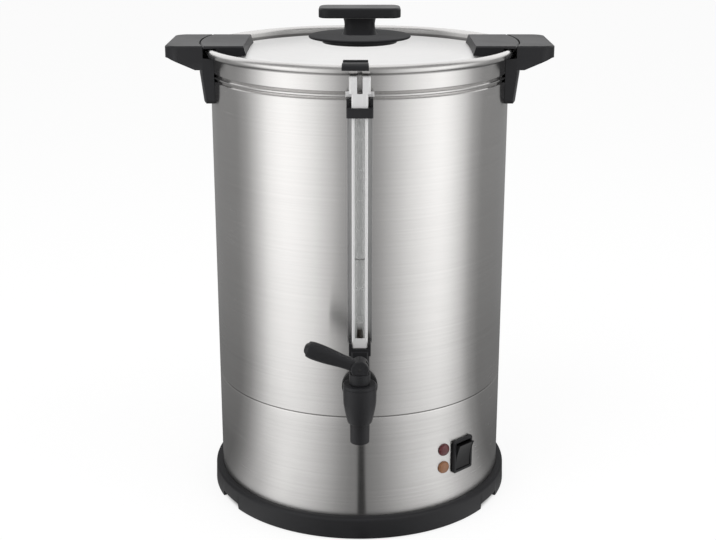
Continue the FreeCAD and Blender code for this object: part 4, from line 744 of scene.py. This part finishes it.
def skirt():
    """Brushed skirt below the seam, with windows for the switch and the cord bush, and its stepped upper edge."""
    switch_half = math.degrees(SWITCH_BODY_W / 2 / BODY_R)
    gland_half = math.degrees(GLAND_HALF / BODY_R)
    switch_at = SWITCH_TURN - 90.0
    marks = np.array((switch_at - switch_half, switch_at + switch_half, 90.0 - gland_half, 90.0 + gland_half)) % 360.0
    even = np.linspace(0.0, 360.0, ROUND, endpoint=False)
    even = even[np.abs((even[:, None] - marks[None] + 180.0) % 360.0 - 180.0).min(1) > 0.4]
    columns = np.sort(np.concatenate((even, marks)))
    spans = [tuple(int(np.argmin(np.abs(columns - mark))) for mark in marks[k:k + 2]) for k in (0, 2)]
    top = SEAM_Z - SEAM_GAP / 2
    tall = (SWITCH_Z - SWITCH_BODY_H / 2, SWITCH_Z + SWITCH_BODY_H / 2, GLAND_Z - GLAND_HALF, GLAND_Z + GLAND_HALF)
    straight = np.unique(np.concatenate((np.linspace(LEDGE_Z + 0.2, top - LIP, 14), tall)))
    levels = [int(np.argmin(np.abs(straight - height))) for height in tall]
    neck = TANK_IN - 0.1
    step_out = np.concatenate((arc_points((BODY_R - LIP, top - LIP), LIP, 0, 90, 6)[1:],
                               ((neck - 0.05, top), (neck, top + 0.1), (neck, SEAM_Z + JOGGLE_H))))
    step_in = np.array(((TANK_IN - 0.2, top - LIP - SHEET), (neck - SHEET, top - SHEET),
                        (neck - SHEET, SEAM_Z + JOGGLE_H)))
    step_in = np.concatenate((step_in, np.repeat(step_in[-1:], len(step_out) - len(step_in), 0)))
    outer = np.concatenate((coords(BODY_R, straight), step_out))
    inner = np.concatenate((coords(TANK_IN, straight), step_in))
    gaps = ((spans[0], levels[:2]), (spans[1], levels[2:]))
    piece("skirt_shell", [opened(columns, outer, inner, gaps)], "skirt")


def base_ring():
    """Moulded base: a turned ring whose lower edge lifts over each notch, with gussets inside."""
    outline = fillet((
        (BASE_R, FOOT_PROUD, 0.6), (BASE_R - BASE_DRAFT, BASE_H, BASE_ROUND), (BODY_R + 0.1, BASE_H, 0.4),
        (BODY_R + 0.1, LEDGE_Z), (BASE_INNER, LEDGE_Z, 0.5), (BASE_INNER, LEDGE_Z - BASE_WALL, 0.5),
        (BASE_R - BASE_WALL, LEDGE_Z - BASE_WALL, 0.5), (BASE_R - BASE_WALL, FOOT_PROUD, 0.5)), 6)
    edges = np.array([angle - 90.0 + side * (NOTCH_SPAN / 2 + step) for angle in NOTCH_ANGLES for side in (-1, 1)
                      for step in (-0.12, 0.12)])
    even = np.linspace(0, 360, ROUND, endpoint=False)
    columns = np.unique(np.round(np.concatenate((even, edges % 360)), 4))
    grid = spun(outline, columns)
    middle = np.array(NOTCH_ANGLES) - 90.0
    off = np.abs((columns[:, None] - middle[None] + 180.0) % 360.0 - 180.0).min(1)
    inside = (off < NOTCH_SPAN / 2)[None, :] & (outline[:, :1] > BASE_INNER + 8.0)
    grid[..., 2] = np.where(inside, np.maximum(grid[..., 2], NOTCH_H), grid[..., 2])
    shells = [shell(grid, ring=True)]
    near, far, top = BASE_INNER + RIB_IN, BASE_R - BASE_WALL + 0.2, LEDGE_Z - BASE_WALL
    rib = np.array(((near, top + 0.2), (near, top - RIB_T), (far, FOOT_PROUD + RIB_T), (far, top + 0.2)))
    for step in range(RIB_COUNT):
        turn = 360.0 * (step + 0.5) / RIB_COUNT
        shells.append(shell(placed(slab(rib, -RIB_T / 2, RIB_T / 2, 0.3, 0.3, 2), along=-sideways(turn),
                                   across=outward(turn))))
    boss = rod(BOSS_R, LEDGE_Z - 0.2, LEDGE_Z + BOSS_H, 0.0, 0.6)
    for step in range(BOSS_COUNT):
        spot = outward(90.0 + 360.0 / BOSS_COUNT * step) * (BASE_INNER + 4.0)
        shells.append(turned(boss, 24, ring=False, origin=spot))
    piece("base_moulding", shells, "base_ring", crease=40.0)


def feet():
    """Rubber feet: short turned studs with a rounded sole and a shallow dimple."""
    line = traced(((0.0, 0.5), (FOOT_R * 0.45, 0.5, 0.3), (FOOT_R * 0.55, 0.0, 0.2), (FOOT_R, 0.0, 0.8),
                   (FOOT_R, FOOT_TOP, 0.3), (0.0, FOOT_TOP)), 5)
    shells = [turned(line, 40, ring=False, origin=outward(angle + 90.0) * FOOT_PITCH) for angle in FOOT_ANGLES]
    piece("feet", shells, "rubber_feet")


# --- Lid ---

def crown(radius):
    """Height of the lid's crown at a radius: part of a sphere."""
    return DOME_TOP - DOME_R + np.sqrt(DOME_R ** 2 - np.asarray(radius, float) ** 2)


def lid():
    """Crowned lid: under its crown, down inside its skirt, up outside it, over its rounded edge and in to the middle.
    The tongue behind the tab is raised where a point is inside a round-ended strip."""
    near = np.concatenate((np.linspace(0.0, 84.0, 15), np.arange(88.0, LID_R - 4.2, 0.7)))
    under = np.linspace(0.0, LID_R - 3.2, 18)
    edge_z = crown(LID_R - LID_CORNER)
    side = traced(((LID_R - SHEET, edge_z - 8.0), (LID_R - SHEET, LID_FOOT_Z, 0.25), (LID_R, LID_FOOT_Z, 0.25),
                   (LID_R, edge_z + 0.1, LID_CORNER), (LID_R - 4.0, crown(LID_R - 4.0))), 6)
    line = np.concatenate((coords(under, crown(under) - SHEET), side, coords(near, crown(near))[::-1]))
    fine = np.arange(-8.0, 5.0, 0.28)
    coarse = np.arange(5.0, 352.0, 2.0)
    grid = spun(line, np.concatenate((fine, coarse)) - 90.0)
    turn = math.radians(FRONT_TURN)
    x = grid[..., 0] * math.cos(turn) + grid[..., 1] * math.sin(turn)
    y = grid[..., 1] * math.cos(turn) - grid[..., 0] * math.sin(turn)
    off = np.hypot(x, y - np.minimum(y, -EMBOSS_NEAR)) - EMBOSS_HALF
    raised = np.clip(0.5 - off / EMBOSS_SLOPE, 0.0, 1.0)
    raised = raised * raised * (3 - 2 * raised)
    on_top = (np.arange(len(line)) >= len(line) - len(near) - 1)[:, None]
    grid[..., 2] += np.where(on_top & (y < 0), EMBOSS_H * raised, 0.0)
    piece("lid_crown", [shell(grid)], "lid")


def lid_tab():
    """Hooked tab: its section over the rolled rim is carried round the urn's axis and eased in at both ends."""
    far, close = RIM_ROLL_R + 0.3 + TAB_T, RIM_ROLL_R + 0.35
    rib, top = TANK_IN - SHEET, RIM_Z + far
    back, front = (TAB_BACK, crown(TAB_BACK) + 0.1, 0.3), (LID_R - 0.3, crown(LID_R - 0.3) + 0.1)
    hook = arc_points((RIM_R, RIM_Z), far, 0, 90, 10)
    rise = traced(((rib + 1.5, top), (rib, top, 0.4), (rib, top + TAB_RIB_H, 0.7),
                   (rib - TAB_RIB_T, top + TAB_RIB_H, 0.7), back, front), 4)
    under = arc_points((RIM_R, RIM_Z), close, 180, 0, 14)
    outline = np.concatenate((hook, rise[1:], under))
    spread = np.degrees(TAB_W / RIM_R) / 2
    ease = 0.5
    stations = [(-1.0, 0.7), (-1.0, ease), (-0.985, 0.2), (-0.96, 0.0), (-0.5, 0.0), (0.0, 0.0), (0.5, 0.0),
                (0.96, 0.0), (0.985, 0.2), (1.0, ease), (1.0, 0.7)]
    rows = []
    for share, inset in stations[::-1]:
        section = drawn_in(outline, inset)
        turn = math.radians(FRONT_TURN - 90.0 + spread * share)
        rows.append(coords(section[:, 0] * math.cos(turn), section[:, 0] * math.sin(turn), section[:, 1]))
    piece("lid_tab_hook", [shell(np.array(rows))], "lid_tab")


def gasket():
    """Soft ring with two lips, round the lower edge of the lid's skirt."""
    inner = LID_R - SHEET - 0.3 - GASKET_LEG
    ledge = GASKET_Z + GASKET_LEG
    line = fillet(((inner, GASKET_Z, 0.4), (TANK_IN - 0.3, GASKET_Z, 0.4), (TANK_IN - 0.3, GASKET_Z + GASKET_UP, 0.4),
                   (LID_R + 0.35, GASKET_Z + GASKET_UP, 0.3), (LID_R + 0.35, ledge), (inner, ledge, 0.3)), 4)
    piece("lid_seal", [turned(line, ROUND)], "lid_gasket")


def knob():
    """Knob: turned seat and splash shield, a waisted oblong stem whose flare is a parabola, and a crowned bar, lower
    by the square of the distance from its middle. None of it shows in gloss, which leaves the lid's shine clear."""
    seat = traced(((0.0, crown(0.0) + 0.05), (SEAT_R, crown(SEAT_R) + 0.05, 0.2), (SEAT_R, SEAT_TOP, 1.2),
                   (0.0, SEAT_TOP)), 5)
    foot = piece("knob_foot", [turned(seat, ring=False)], "knob_seat")
    edge = traced(((0.0, SEAT_TOP), (SHIELD_R - 0.8, SEAT_TOP, 0.5), (SHIELD_R, SEAT_TOP + 1.5, 0.6),
                   (SHIELD_R - 2.0, SEAT_TOP + 2.2, 1.6), (18.0, SHIELD_TOP, 2.0), (0.0, SHIELD_TOP)), 5)
    shield = piece("splash_shield", [turned(edge, ring=False)], "knob_shield", finish="dull_black")
    height = BAR_Z - SHIELD_TOP
    waist = oblong(STEM_L, STEM_W, STEM_ROUND)
    share = np.linspace(0.0, 1.0, 22)
    stem = stacked([drawn_in(waist, -flare / 2) for flare in np.polyval(STEM_FLARE, share)],
                   SHIELD_TOP - 0.1 + (height + 0.6) * share)
    grip = slab(oblong(BAR_L, BAR_W, BAR_ROUND, 10), BAR_Z, BAR_Z + BAR_T, BAR_EASE_LOW, BAR_EASE_HIGH, 7)
    grip = np.concatenate((grip, grip[-1:] * np.array((0.85, 0.6, 0.3, 0.02))[:, None, None] ** (1.0, 1.0, 0.0)))
    crest = np.minimum((grip[..., 0] / (BAR_L / 2)) ** 2 + (grip[..., 1] / (BAR_W / 2)) ** 2, 1.0)
    grip[..., 2] -= BAR_CROWN * crest * ((grip[..., 2] - BAR_Z) / BAR_T) ** 3
    handle = piece("knob_handle", [shell(stem), shell(grip)], "knob_grip")
    for obj in (foot, shield, handle, frame["nodes"]["knob_screw"]):
        obj.visible_glossy = False


# --- Tap ---

def tap_body():
    """Tap moulding: a turned bell whose side is a smooth curve from the neck to the belly, bored for the valve, on a
    bored shank with its flange."""
    side = smooth_line(((NECK_R, NECK_Z), (11.6, 138.2), (12.9, 144.6), (13.75, 150.4), (TAP_R, BELLY_Z + 2.0)), 22)
    spout = traced(((SPOUT_BORE_R, 122.0), (SPOUT_BORE_R, SPOUT_Z, 0.4), (SPOUT_R, SPOUT_Z, 0.6),
                    (SPOUT_R + 0.3, NECK_Z - 1.2, 0.6), (NECK_R - 0.4, NECK_Z - 0.6)), 4)
    top = traced(((TAP_R, BODY_TOP_Z - 4.0), (TAP_R, BODY_TOP_Z, 0.35), (THREAD_R, BODY_TOP_Z, 0.3),
                  (THREAD_R, SHANK_Z + 2.0, 0.5), (CHAMBER_R, SHANK_Z - 1.0, 0.5), (CHAMBER_R, VALVE_Z, 0.5),
                  (SHANK_BORE_R, VALVE_Z, 0.3), (SHANK_BORE_R, VALVE_Z - 2.5, 0.5),
                  (SPOUT_BORE_R, VALVE_Z - 5.0, 0.5), (SPOUT_BORE_R, 124.0)), 4)
    reach = SHANK_END - TAP_Y
    shank = sleeve(SHANK_BORE_R, SHANK_R, 11.0, reach, (0.0, 0.0, 0.8, 0.3))
    flange = sleeve(SHANK_R - 0.2, FLANGE_R, 9.0, FLANGE_END - TAP_Y, (0.0, 0.0, 0.6, 0.0))
    back = {"origin": (0.0, TAP_Y, SHANK_Z), "along": (0.0, 1.0, 0.0)}
    barrel = turned(np.concatenate((spout, side, top)), origin=TAP_AXIS)
    piece("tap_moulding", [barrel, turned(shank, SMALL, **back), turned(flange, SMALL, **back)], "tap_body")


def tap_bonnet():
    """Screwed cap of the tap: a turned ring with an eased rim and the bore for the collar's bearing."""
    low = BODY_TOP_Z + 0.1
    foot = low - BONNET_SPIGOT
    bearing, bore = HUB_SPIGOT_R + 0.05, STEM_R + 0.05
    line = fillet(((THREAD_R - 0.1, foot, 0.3), (THREAD_R - 0.1, low, 0.1), (TAP_R, low, 0.3),
                   (TAP_R, BONNET_TOP, BONNET_EASE), (bearing, BONNET_TOP, 0.2), (bearing, low - HUB_SINK, 0.2),
                   (bore, low - HUB_SINK, 0.1), (bore, foot, 0.1)), 5)
    piece("tap_cap", [turned(line, origin=TAP_AXIS)], "tap_bonnet")


def tap_hub():
    """Swivel collar: a turned drum with an eased top and a spigot down in the cap."""
    foot = BODY_TOP_Z + 0.1 - HUB_SINK + 0.3
    bore = STEM_R + 0.05
    line = fillet(((HUB_SPIGOT_R, foot, 0.2), (HUB_SPIGOT_R, HUB_LOW, 0.1), (HUB_R, HUB_LOW, 0.4),
                   (HUB_R, HUB_TOP, HUB_EASE), (bore, HUB_TOP, 0.2), (bore, foot, 0.2)), 5)
    piece("tap_collar_drum", [turned(line, SMALL, origin=TAP_AXIS)], "tap_hub")


def oval(width, height, count=48, power=3.2):
    """Outline of a soft-cornered oval: a superellipse."""
    turn = np.linspace(0.0, 2 * math.pi, count, endpoint=False)
    cosine, sine = np.cos(turn), np.sin(turn)
    return coords(width / 2 * np.sign(cosine) * np.abs(cosine) ** (2 / power),
                  height / 2 * np.sign(sine) * np.abs(sine) ** (2 / power))


def tap_lever():
    """Lever: a round root across the urn, slotted for the valve stem, and an arm of soft ovals that swells to a
    rounded paddle."""
    root = rod(LEVER_ROOT_R, -LEVER_HALF, LEVER_HALF, 1.1, 1.1, 5)
    pin = {"origin": (0.0, TAP_Y, PIN_Z), "along": (0.0, 1.0, 0.0)}
    root = mesh_of("lever", [turned(root, SMALL, ring=False, **pin)])
    sizes = smooth_line(LEVER_STATIONS, 26)
    end, tip = LEVER_STATIONS[-1], LEVER_TIP
    turn = np.linspace(0.0, math.pi / 2, 9)[1:]
    taper = np.cos(turn) ** 0.75
    nose = coords(end[0] - tip + tip * np.sin(turn), end[1] * taper, end[2] * taper)
    sizes = np.concatenate((sizes[sizes[:, 0] < end[0] - tip], nose))
    arm = stacked([oval(max(width, 0.02), max(thick, 0.02)) for _, width, thick in sizes], sizes[:, 0])
    rise = math.radians(LEVER_RISE)
    arm = placed(arm, pin["origin"], (-math.cos(rise), 0.0, math.sin(rise)), pin["along"])
    gap = BLADE_T / 2 + 0.3
    heel = box_tool((-LEVER_ROOT_R - 2, TAP_Y - LEVER_HALF - 1, HUB_TOP - 10),
                    (LEVER_ROOT_R + 2, TAP_Y + LEVER_HALF + 1, HUB_TOP + 0.3))
    slot = box_tool((-6.2, TAP_Y - gap, HUB_TOP - 5), (LEVER_ROOT_R + 2, TAP_Y + gap, PIN_Z + 5.2))
    hole = mesh_of("tool", [turned(rod(LEVER_HOLE_R, -9.0, 9.0), 32, ring=False, **pin)])
    worked(root, "UNION", mesh_of("arm", [shell(arm)]))
    worked(root, "DIFFERENCE", heel, slot, hole, crease=38.0)
    piece("tap_lever_arm", None, "tap_lever", obj=root)


def tap_spring():
    """Coil spring: a round wire whose centre climbs a helix, its first and last turns closer together. Its top bears
    on the cap."""
    turns = np.linspace(0.0, SPRING_TURNS, SPRING_TURNS * 36 + 1)
    share = turns / SPRING_TURNS
    climb = SPRING_LOW + (SPRING_HIGH - SPRING_LOW) * (share - 0.06 * np.sin(2 * math.pi * share))
    angle = 2 * math.pi * turns
    centre = coords(SPRING_R * np.cos(angle), SPRING_R * np.sin(angle), climb)
    out = coords(np.cos(angle), np.sin(angle), 0.0)
    round_wire = np.linspace(0.0, 2 * math.pi, 14, endpoint=False)
    grid = centre[:, None] + SPRING_WIRE_R * (np.cos(round_wire)[None, :, None] * out[:, None] +
                                              np.sin(round_wire)[None, :, None] * np.array((0.0, 0.0, 1.0)))
    coil = piece("tap_coil", [shell((grid + TAP_AXIS)[:, ::-1])], "tap_spring", body="tap_collar")
    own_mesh(coil)


def tap_washers():
    """Rubber discs either side of the wall: their faces against it follow its curve."""
    outline = sleeve(SHANK_R + 0.1, WASHER_R, 0.0, WASHER_T, (0.0, 0.6, 0.0, 0.0))
    shells = []
    for near, wall in ((HOLDER_BACK + 0.1, BODY_R + 0.1), (-TANK_IN + 3.5, TANK_IN - 0.1)):
        grid = placed(spun(outline, SMALL), (0.0, near, SHANK_Z), (0.0, 1.0 if wall > BODY_R else -1.0, 0.0))
        against = np.abs(grid[..., 1] - near) > WASHER_T - 1.0
        grid[..., 1] = np.where(against, -np.sqrt(wall ** 2 - grid[..., 0] ** 2), grid[..., 1])
        shells.append(shell(grid, ring=True))
    piece("tap_washer_pair", shells, "tap_washers")


# --- Gauge ---

def gauge():
    """Sight glass, a bored tube with fire-polished ends, and its two rubber sleeves."""
    here = (0.0, GAUGE_Y, 0.0)
    tube = sleeve(TUBE_BORE_R, TUBE_R, TUBE_LOW, TUBE_HIGH, (0.4, 0.5, 0.5, 0.4))
    piece("sight_glass", [turned(tube, SMALL, origin=here)], "gauge_tube")
    seals = [sleeve(TUBE_R + 0.1, SEAL_R, low, high, (0.0, 0.3, 0.4, 0.0))
             for low, high in ((HOLDER_TOP - 11.9, HOLDER_TOP + 7.0), (CLIP_Z + 0.5, CLIP_Z + 6.1))]
    piece("gauge_sleeves", [turned(seal, SMALL, origin=here) for seal in seals], "gauge_seals")


# --- Switch, lamps and bush ---

def rocker():
    """Rocker: the section of a dished key, carried across its width with eased ends, on two side pins. Its dish is a
    parabola and it rests tipped with its lower end pressed in."""
    lean = math.radians(ROCKER_TILT)
    share = np.linspace(-1.0, 1.0, 19)
    dish = coords(ROCKER_HALF_H * share, ROCKER_FACE + ROCKER_DISH * share ** 2)[::-1]
    foot = np.array(((-ROCKER_FOOT, -ROCKER_DEEP), (ROCKER_FOOT, -ROCKER_DEEP)))
    section = np.concatenate((foot, dish))
    out, up = section[:, 1], section[:, 0]
    tipped = coords(out * math.cos(lean) - up * math.sin(lean), out * math.sin(lean) + up * math.cos(lean))
    plate = slab(tipped, -ROCKER_HALF_W, ROCKER_HALF_W, 0.45, 0.45, 4)
    face = outward(SWITCH_TURN)
    right = sideways(SWITCH_TURN)
    origin = face * BODY_R + np.array((0.0, 0.0, SWITCH_Z))
    reach = ROCKER_HALF_W + ROCKER_PIN_PROUD
    pins = rod(ROCKER_PIN_R, -reach, reach)
    place = {"origin": origin, "along": right, "across": face}
    shells = [shell(placed(plate, **place)), turned(pins, 24, ring=False, **place)]
    piece("rocker_key", shells, "switch_rocker", crease=28.0)


def lamps():
    """Indicator lamps: a turned body behind a domed lens with faint moulded rings."""
    face = outward(LAMP_TURN)
    for name, height in LAMP_HEIGHTS:
        radius = np.linspace(LAMP_R * 0.86, 0.0, 22)
        dome = 0.9 + (LAMP_PROUD - 0.8) * np.sqrt(1 - (radius / LAMP_R) ** 2) + 0.05 * np.cos(radius * 5.2)
        stem = traced(((0.0, -LAMP_DEPTH), (LAMP_BODY_R, -LAMP_DEPTH, 0.4), (LAMP_BODY_R, 0.1), (LAMP_R, 0.1, 0.2),
                       (LAMP_R, 0.9, 0.15), (LAMP_R * 0.97, 1.2)), 4)
        line = np.concatenate((stem, coords(radius, np.minimum(dome, LAMP_PROUD + 0.1))))
        place = {"origin": face * BODY_R + np.array((0.0, 0.0, height)), "along": face, "across": (0.0, 0.0, 1.0)}
        piece(name + "_lens", [turned(line, SMALL, ring=False, **place)], name)


def gland():
    """Cord bush: a turned bush with a flange, a tapered nose and a nut inside."""
    nut, start, end = TANK_IN - 0.4, TANK_IN - GLAND_REACH, BODY_R + GLAND_REACH
    line = fillet(((GLAND_BORE_R, start, 0.2), (GLAND_R + 1.4, start, 0.3), (GLAND_R + 1.4, nut, 0.2),
                   (GLAND_HALF - 0.2, nut), (GLAND_HALF - 0.2, BODY_R + 0.1), (GLAND_FLANGE_R, BODY_R + 0.1, 0.2),
                   (GLAND_FLANGE_R, BODY_R + GLAND_FLANGE_T, 0.8), (GLAND_FLANGE_R - 4, end, 0.9),
                   (GLAND_BORE_R, end, 0.8)), 5)
    piece("cord_bush", [turned(line, origin=(0.0, 0.0, GLAND_Z), along=(0.0, 1.0, 0.0))], "cord_gland")


# --- Percolator ---

def pump():
    """Pump: a thin tube that flares to a bell at its foot, with a small cone under the basket."""
    foot, inner = WELL_Z + 0.3, PUMP_R - PUMP_WALL
    top = foot + BELL_H
    seat = BASKET_Z - SHEET - 0.3
    line = fillet(((BELL_R - PUMP_WALL, foot), (BELL_R, foot), (BELL_R, foot + 2, 1.0), (PUMP_R, top, FLARE_ROUND),
                   (PUMP_R, seat - CONE_H, 0.6), (PUMP_R + CONE_H, seat, 0.4), (PUMP_R, seat),
                   (PUMP_R, PUMP_TOP, 0.3), (inner, PUMP_TOP, 0.2), (inner, top - 1.2, FLARE_ROUND),
                   (BELL_R - PUMP_WALL, foot + 1.4, 1.0)), 6)
    piece("pump_stem", [turned(line)], "pump_tube")


def pierced(name, line, holes, node):
    """Turned sheet with rings of small square-cut holes. The grid leaves out one face in so many along the rows
    marked 1 or 2, half a step round in those marked 1, and then gets its thickness."""
    points, faces = turned(line, HOLE_COLUMNS, ring=False)
    row, column = np.divmod(np.arange(len(faces)), HOLE_COLUMNS)
    mark = np.append(holes, 0)[row]
    solid = (mark == 0) | ((column + mark * HOLE_PITCH // 2) % HOLE_PITCH > 0)
    obj = mesh_of(name, [(points, [face for face, stays in zip(faces, solid) if stays])])
    modify(obj, "sheet", "SOLIDIFY", thickness=SHEET * MM, offset=0.0)
    settle(obj)
    piece(name, None, node, obj=obj)


def basket():
    """Coffee basket: a turned cup of pierced sheet round a sleeve."""
    low, rim = BASKET_Z - SHEET / 2, BASKET_Z + BASKET_H
    inside, wall_r = SLEEVE_R + SHEET / 2, BASKET_R - SHEET / 2
    corner_r = wall_r - BASKET_ROUND
    floor = coords(np.linspace(inside, corner_r, 30), low)
    corner = arc_points((corner_r, low + BASKET_ROUND), BASKET_ROUND, -90, 0, 6)[1:]
    wall = coords(wall_r, np.linspace(low + 5.0, rim - 0.6, 36))
    line = np.concatenate((((inside, rim - 4.0), (inside, low + 1.0)), floor, corner, wall))
    holes = np.zeros(len(line) - 1, int)
    rings = np.arange(4, len(floor), 3)
    holes[rings] = rings // 3 % 2 + 1
    first = 3 + len(floor) + len(corner)
    holes[first:first + 11:3] = (1, 2, 1, 2)
    pierced("coffee_basket_cup", line, holes, "coffee_basket")


def cover():
    """Spreader: a turned disc of pierced sheet with a spigot and a short sleeve."""
    low = BASKET_Z + BASKET_H + 0.3
    inside, middle = SLEEVE_R + SHEET / 2, low + SHEET / 2
    spigot, edge = BASKET_R - SHEET - 0.7, BASKET_R + 1.2
    disc = coords(np.linspace(inside, spigot - 1.0, 34), middle)
    line = np.concatenate((((inside, low + 3.0), (inside, low + 0.9)), disc,
                           ((spigot, low - 1.0), (spigot + 0.1, middle), (edge - SHEET / 2, middle))))
    holes = np.zeros(len(line) - 1, int)
    rings = np.arange(5, 34, 3)
    holes[rings] = rings // 3 % 2 + 1
    pierced("basket_spreader", line, holes, "basket_cover")


# --- CAD nodes that are shown as they are ---

EASES = {"gauge_guard": 0.22, "gauge_back": 0.06, "gauge_clip": 0.45, "gauge_holder": 0.5, "handle_right": 0.7,
         "handle_left": 0.7, "lid_ear_right": 0.7, "lid_ear_left": 0.7, "switch_housing": 0.35, "tap_nut": 0.5,
         "terminal_block": 0.4}
PLAIN_EASE = 0.12
# The gauge's back channel gets a darker steel than its slot's, as painted shade beside the guard.
CAD_FINISHES = {"tap_pin": "blackened_pin", "gauge_back": "shaded_channel_steel"}
PIERCED = ("gauge_guard", "gauge_clip", "gauge_holder", "switch_housing", "base_plate", "heater_plate")


def dress(node, obj):
    """Joins a CAD node's loose triangles into flat faces, eases its edges and gives it its finish."""
    modify(obj, "join", "WELD", merge_threshold=1e-6)
    if node not in PIERCED:
        modify(obj, "flats", "DECIMATE", decimate_type="DISSOLVE", angle_limit=math.radians(0.4))
    modify(obj, "ease", "BEVEL", width=EASES.get(node, PLAIN_EASE) * MM, segments=3 if node in EASES else 1,
           limit_method="ANGLE", angle_limit=math.radians(28.0), harden_normals=True,
           miter_outer="MITER_ARC" if node in EASES else "MITER_SHARP")
    obj.data.materials.clear()
    obj.data.materials.append(FINISHES[CAD_FINISHES.get(node, SLOTS[node])])


# --- Stage ---

CAMERA_AT = (-0.0015, -1.19475, 0.58064)
CAMERA_DOWN = 72.78
CAMERA_LENS = 65.87
TENT_R = 500.0
TENT_H = 1150.0
TENT_LIFT = 0.6
TENT_FOOT_ROUND, TENT_TOP_ROUND = 20.0, 300.0
TENT_BRIGHTEST = 2.0
# The tent's brightness at angles to the right of the front
TENT_LEVELS = ((-180, 0.28), (-95, 0.34), (-84, 0.54), (-74, 0.98), (-64, 1.52), (-56, 1.70), (-50, 1.74),
               (-42, 1.66), (-32, 1.42), (-20, 0.96), (-12, 0.62), (-6, 0.46), (0, 0.42), (6, 0.44), (12, 0.54),
               (20, 0.80), (32, 1.20), (42, 1.46), (50, 1.62), (56, 1.68), (64, 1.52), (75, 1.06), (84, 0.58),
               (95, 0.35), (180, 0.28))
FLOOR_R, FLOOR_T = 9000.0, 10.0
FLOOR_GREY = 0.86
FLOOR_GLOW, FLOOR_SHARE = 1.16, 0.72        # strength of its own white and how far it covers the shadows
BARE_R, GLOW_R = BASE_R - 8.0, BASE_R - 1.0     # up to the first there is no glow, from the second on it is full
SURROUNDINGS = 0.52                         # level of the light that comes from all round


def camera():
    """Camera in front of the urn and above it, tipped down."""
    data = bpy.data.cameras.new("camera")
    data.lens = CAMERA_LENS
    data.sensor_width = 36.0
    obj = linked("camera", data)
    obj.location = CAMERA_AT
    obj.rotation_euler = (math.radians(CAMERA_DOWN), 0.0, 0.0)
    bpy.context.scene.camera = obj


def seen_straight(made):
    """1 for what the eye, a reflection or clear glass sees, 0 for light that falls on the urn."""
    eye, gloss, glass = (made.node("ShaderNodeLightPath", output=f"Is {kind} Ray")
                         for kind in ("Camera", "Glossy", "Transmission"))
    return (eye + gloss + glass).at_most(1.0)


def floor():
    """Plain pale floor: white to the eye except below the urn, but still darker where the urn keeps the light off."""
    made = Finish("floor", "ShaderNodeBsdfDiffuse")
    made.set(Color=(FLOOR_GREY, FLOOR_GREY, FLOOR_GREY, 1.0))
    clear = made.from_axis().step(BARE_R * MM, GLOW_R * MM)
    mix = made.node("ShaderNodeMixShader", None, {
        0: seen_straight(made) * clear * FLOOR_SHARE, 1: Signal(made, made.shader.outputs[0]),
        2: made.node("ShaderNodeEmission", None, {"Strength": FLOOR_GLOW})})
    made.tree.links.new(mix.socket, made.output.inputs["Surface"])
    obj = mesh_of("floor", [turned(rod(FLOOR_R, -FLOOR_T, 0.0), 64, ring=False)])
    obj.data.materials.append(made.material)


def tent():
    """Ring of soft light boxes round the urn, seen only in its gloss: two tall bright ones in front to the left and
    right, a dim gap between them, dim sides, and a bright panel high at the back and over the top."""
    made = Finish("light_tent", "ShaderNodeEmission")
    x, y, z = (made.axis(name) for name in "XYZ")
    azimuth = x.maths("ARCTAN2", y * -1.0) * (180.0 / math.pi)
    ahead = abs(azimuth)
    stops = [((turn + 180.0) / 360.0, level / TENT_BRIGHTEST) for turn, level in TENT_LEVELS]
    boxes = made.node("ShaderNodeValToRGB", {"stops": stops}, {"Fac": azimuth / 360.0 + 0.5}) * TENT_BRIGHTEST
    low = z.step(0.0, 0.30) * 0.16 + z.step(0.0, 0.05) * 0.18 + 0.66
    gap = 1.0 - (1.0 - abs(azimuth - 1.0).step(1.3, 3.0)) * (1.0 - z.step(0.12, 0.20)) * 0.88
    flank = 1.0 - (1.0 - made.from_axis().step(0.21, 0.32)) * ahead.step(42.0, 62.0) * 0.36
    panel = ahead.step(75.0, 105.0) * 0.95 + 0.35
    over = z.step(1.07, 1.14)
    high = z.step(0.48, 0.55)
    made.set(Strength=boxes * low * gap * flank * (1.0 - high) + high * (panel * (1.0 - over) + over * 1.35))
    line = traced(((0.0, TENT_LIFT), (TENT_R, TENT_LIFT, TENT_FOOT_ROUND), (TENT_R, TENT_H, TENT_TOP_ROUND),
                   (0.0, TENT_H)), 12)
    obj = mesh_of("light_tent", [shell(spun(line)[::-1])], crease=180.0)
    obj.data.materials.append(made.material)
    for ray in ("camera", "diffuse", "transmission", "shadow", "volume_scatter"):
        setattr(obj, f"visible_{ray}", False)


def lamp_light(name, place, size, power):
    """Soft square lamp that lights the urn but isn't seen in its gloss."""
    data = bpy.data.lights.new(name, "AREA")
    data.size = size
    data.energy = power
    obj = linked(name, data)
    obj.location = place
    x, y, z = np.array((0.0, 0.0, 0.2)) - np.array(place)
    obj.rotation_euler = (math.atan2(math.hypot(x, y), -z), 0.0, math.atan2(x, -y) + math.pi)
    obj.visible_glossy = False
    obj.visible_camera = False


def world():
    """Even white surroundings to the eye, a reflection or clear glass, at a plain level for the light that falls on
    the urn."""
    made = Finish("studio", "ShaderNodeBackground", world=True)
    made.set(Color=(1.0, 1.0, 1.0, 1.0), Strength=seen_straight(made) * (1.0 - SURROUNDINGS) + SURROUNDINGS)
    bpy.context.scene.world = made.material


for make in (camera, make_finishes, tank, skirt, base_ring, feet, lid, lid_tab, gasket, knob, tap_body, tap_bonnet,
             tap_hub, tap_lever, tap_spring, tap_washers, gauge, rocker, lamps, gland, pump, basket, cover):
    make()
for node_name, node_object in frame["nodes"].items():
    if not node_object.hide_render:
        dress(node_name, node_object)
floor()
tent()
lamp_light("key", (-0.8, -0.9, 1.9), 1.2, 10.0)
lamp_light("fill", (1.0, -0.5, 1.8), 1.2, 6.0)
world()
bpy.context.scene.view_settings.view_transform = "Standard"
